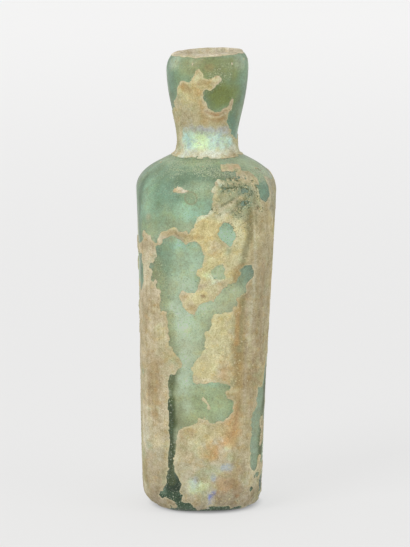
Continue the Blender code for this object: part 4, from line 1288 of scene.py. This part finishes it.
def grainTree():
    # scatters small balls, more of them along borders and in patches, none at the foot
    tree, given, out = openTree("sandScatter", "GeometryNodeTree", [
        ("Crust", "NodeSocketGeometry", None), ("Density", real, 1000.0), ("Smallest", real, 0.0001),
        ("Largest", real, 0.0002), ("Seed", whole, 1), ("Finish", "NodeSocketMaterial", None)],
        [("Grains", "NodeSocketGeometry")])
    outside = addNode(tree, "GeometryNodeInputNamedAttribute", "outside", data_type="FLOAT")
    edge = addNode(tree, "GeometryNodeInputNamedAttribute", "edge", data_type="FLOAT")
    place = addNode(tree, "GeometryNodeInputPosition")
    patchy = easing(tree, noiseOf(tree, place, 420.0, 3.0), 0.42, 0.66)
    share = times(tree, outside, sums(tree, "MAXIMUM", patchy, times(tree, edge, 0.7)))
    parts = addNode(tree, "ShaderNodeSeparateXYZ", place)
    share = times(tree, share, easing(tree, parts.outputs["Z"], 0.0006, 0.0012))
    points = addNode(tree, "GeometryNodeDistributePointsOnFaces", given["Crust"])
    feed(tree, points, Density=times(tree, given["Density"], share), Seed=given["Seed"])
    size = feed(tree, addNode(tree, "FunctionNodeRandomValue", data_type="FLOAT"), Min=given["Smallest"],
                Max=given["Largest"], Seed=given["Seed"])
    tint = feed(tree, addNode(tree, "FunctionNodeRandomValue", data_type="FLOAT"), Seed=9)
    marked = addNode(tree, "GeometryNodeStoreNamedAttribute", points.outputs["Points"], data_type="FLOAT",
                     domain="POINT")
    feed(tree, marked, Name="shade", Value=liveSocket(tint.outputs))
    placed = feed(tree, addNode(tree, "GeometryNodeInstanceOnPoints", marked),
                  Instance=addNode(tree, "GeometryNodeMeshIcoSphere", 1.0, 1),
                  Rotation=points.outputs["Rotation"], Scale=liveSocket(size.outputs))
    finishTree(tree, placed, given["Finish"], out["Grains"])
    return tree


def grainPiece(sources):
    copies = [source.copy() for source in sources]
    for item in copies:
        item.data = item.data.copy()
        scene.collection.objects.link(item)
    with bpy.context.temp_override(active_object=copies[0], selected_editable_objects=copies):
        bpy.ops.object.join()
    return runTree(copies[0], grainTree(), {
        "Density": grains["perSquareMetre"], "Smallest": grains["smallest"], "Largest": grains["largest"],
        "Seed": grains["seed"], "Finish": grainFinish()}, "sandGrains")


sandGrains = grainPiece(crusts)
print("grains", len(sandGrains.data.polygons), "triangles")


# floor, light and camera

studio = {
    "floorRadius": 4.0, "floorSides": 64, "paper": (0.20, 0.198, 0.196), "glowNear": 0.613, "glowFar": 0.714,
    "glowFrom": 0.1, "glowTo": 1.6, "contactShadow": 0.35, "contactFrom": 0.0125, "contactTo": 0.0172,
    "sky": 0.78, "skyColour": (1.0, 0.995, 0.985), "lightSize": 1.3, "lightAim": (0.0, 0.0, 0.06),
    "keyPower": 26.0, "keyPlace": (-1.5, -1.7, 1.9), "fillPower": 7.0, "fillPlace": (1.9, -1.2, 1.1),
    "distance": 0.997, "pitch": 9.65, "aimHeight": 0.0670, "aimSide": -0.0002, "viewAngle": 9.0}


def floorPiece():
    v = studio
    mesh = bpy.data.meshes.new("studioFloor")
    turns = [2 * math.pi * side / v["floorSides"] for side in range(v["floorSides"])]
    corners = [(v["floorRadius"] * math.cos(turn), v["floorRadius"] * math.sin(turn), 0.0) for turn in turns]
    mesh.from_pydata(corners, [], [list(range(v["floorSides"]))])
    material, tree, shader, place = newFinish("studioPaper")
    parts = addNode(tree, "ShaderNodeSeparateXYZ", place)
    radius = sums(tree, "SQRT", plus(tree, sums(tree, "POWER", parts.outputs["X"], 2.0),
                                     sums(tree, "POWER", parts.outputs["Y"], 2.0)))
    glow = easing(tree, radius, v["glowFrom"], v["glowTo"], v["glowNear"], v["glowFar"])
    # painted contact shadow: the floor glows less close round the bottle's foot
    glow = times(tree, glow, easing(tree, radius, v["contactFrom"], v["contactTo"], v["contactShadow"], 1.0))
    feed(tree, shader, Emission_Color=addNode(tree, "ShaderNodeCombineColor", glow, glow, glow),
         Emission_Strength=1.0, Base_Color=v["paper"] + (1.0,), Roughness=0.9, Specular_IOR_Level=0.1)
    mesh.materials.append(material)
    return newItem("studioFloor", mesh)


def areaLight(name, place, power):
    light = bpy.data.lights.new(name, "AREA")
    light.energy, light.size = power, studio["lightSize"]
    item = newItem(name, light)
    item.location = place
    target = mathutils.Vector(studio["lightAim"])
    item.rotation_euler = (target - item.location).to_track_quat("-Z", "Y").to_euler()


def placeCamera():
    v = studio
    camera = bpy.data.cameras.new("studioCamera")
    camera.lens = camera.sensor_width / 2 / math.tan(math.radians(v["viewAngle"]) / 2)
    camera.clip_start, camera.clip_end = 0.01, 20.0
    item = newItem("studioCamera", camera)
    pitch = math.radians(v["pitch"])
    item.location = (v["aimSide"], -v["distance"] * math.cos(pitch),
                     v["aimHeight"] + v["distance"] * math.sin(pitch))
    item.rotation_euler = (math.pi / 2 - pitch, 0.0, 0.0)
    scene.camera = item


def skyLight():
    world = bpy.data.worlds.new("studioSky")
    scene.world = world
    world.use_nodes = True
    feed(world.node_tree, world.node_tree.nodes["Background"], Color=studio["skyColour"] + (1.0,),
         Strength=studio["sky"])


studioFloor = floorPiece()
areaLight("keyLight", studio["keyPlace"], studio["keyPower"])
areaLight("fillLight", studio["fillPlace"], studio["fillPower"])
skyLight()
scene.view_settings.view_transform = "Standard"
placeCamera()


# joining the frame

for piece in [glassBody, innerFilm, rimCrust, sandGrains] + crusts:
    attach(piece, "root")
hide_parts("bottle")
print("pieces placed")
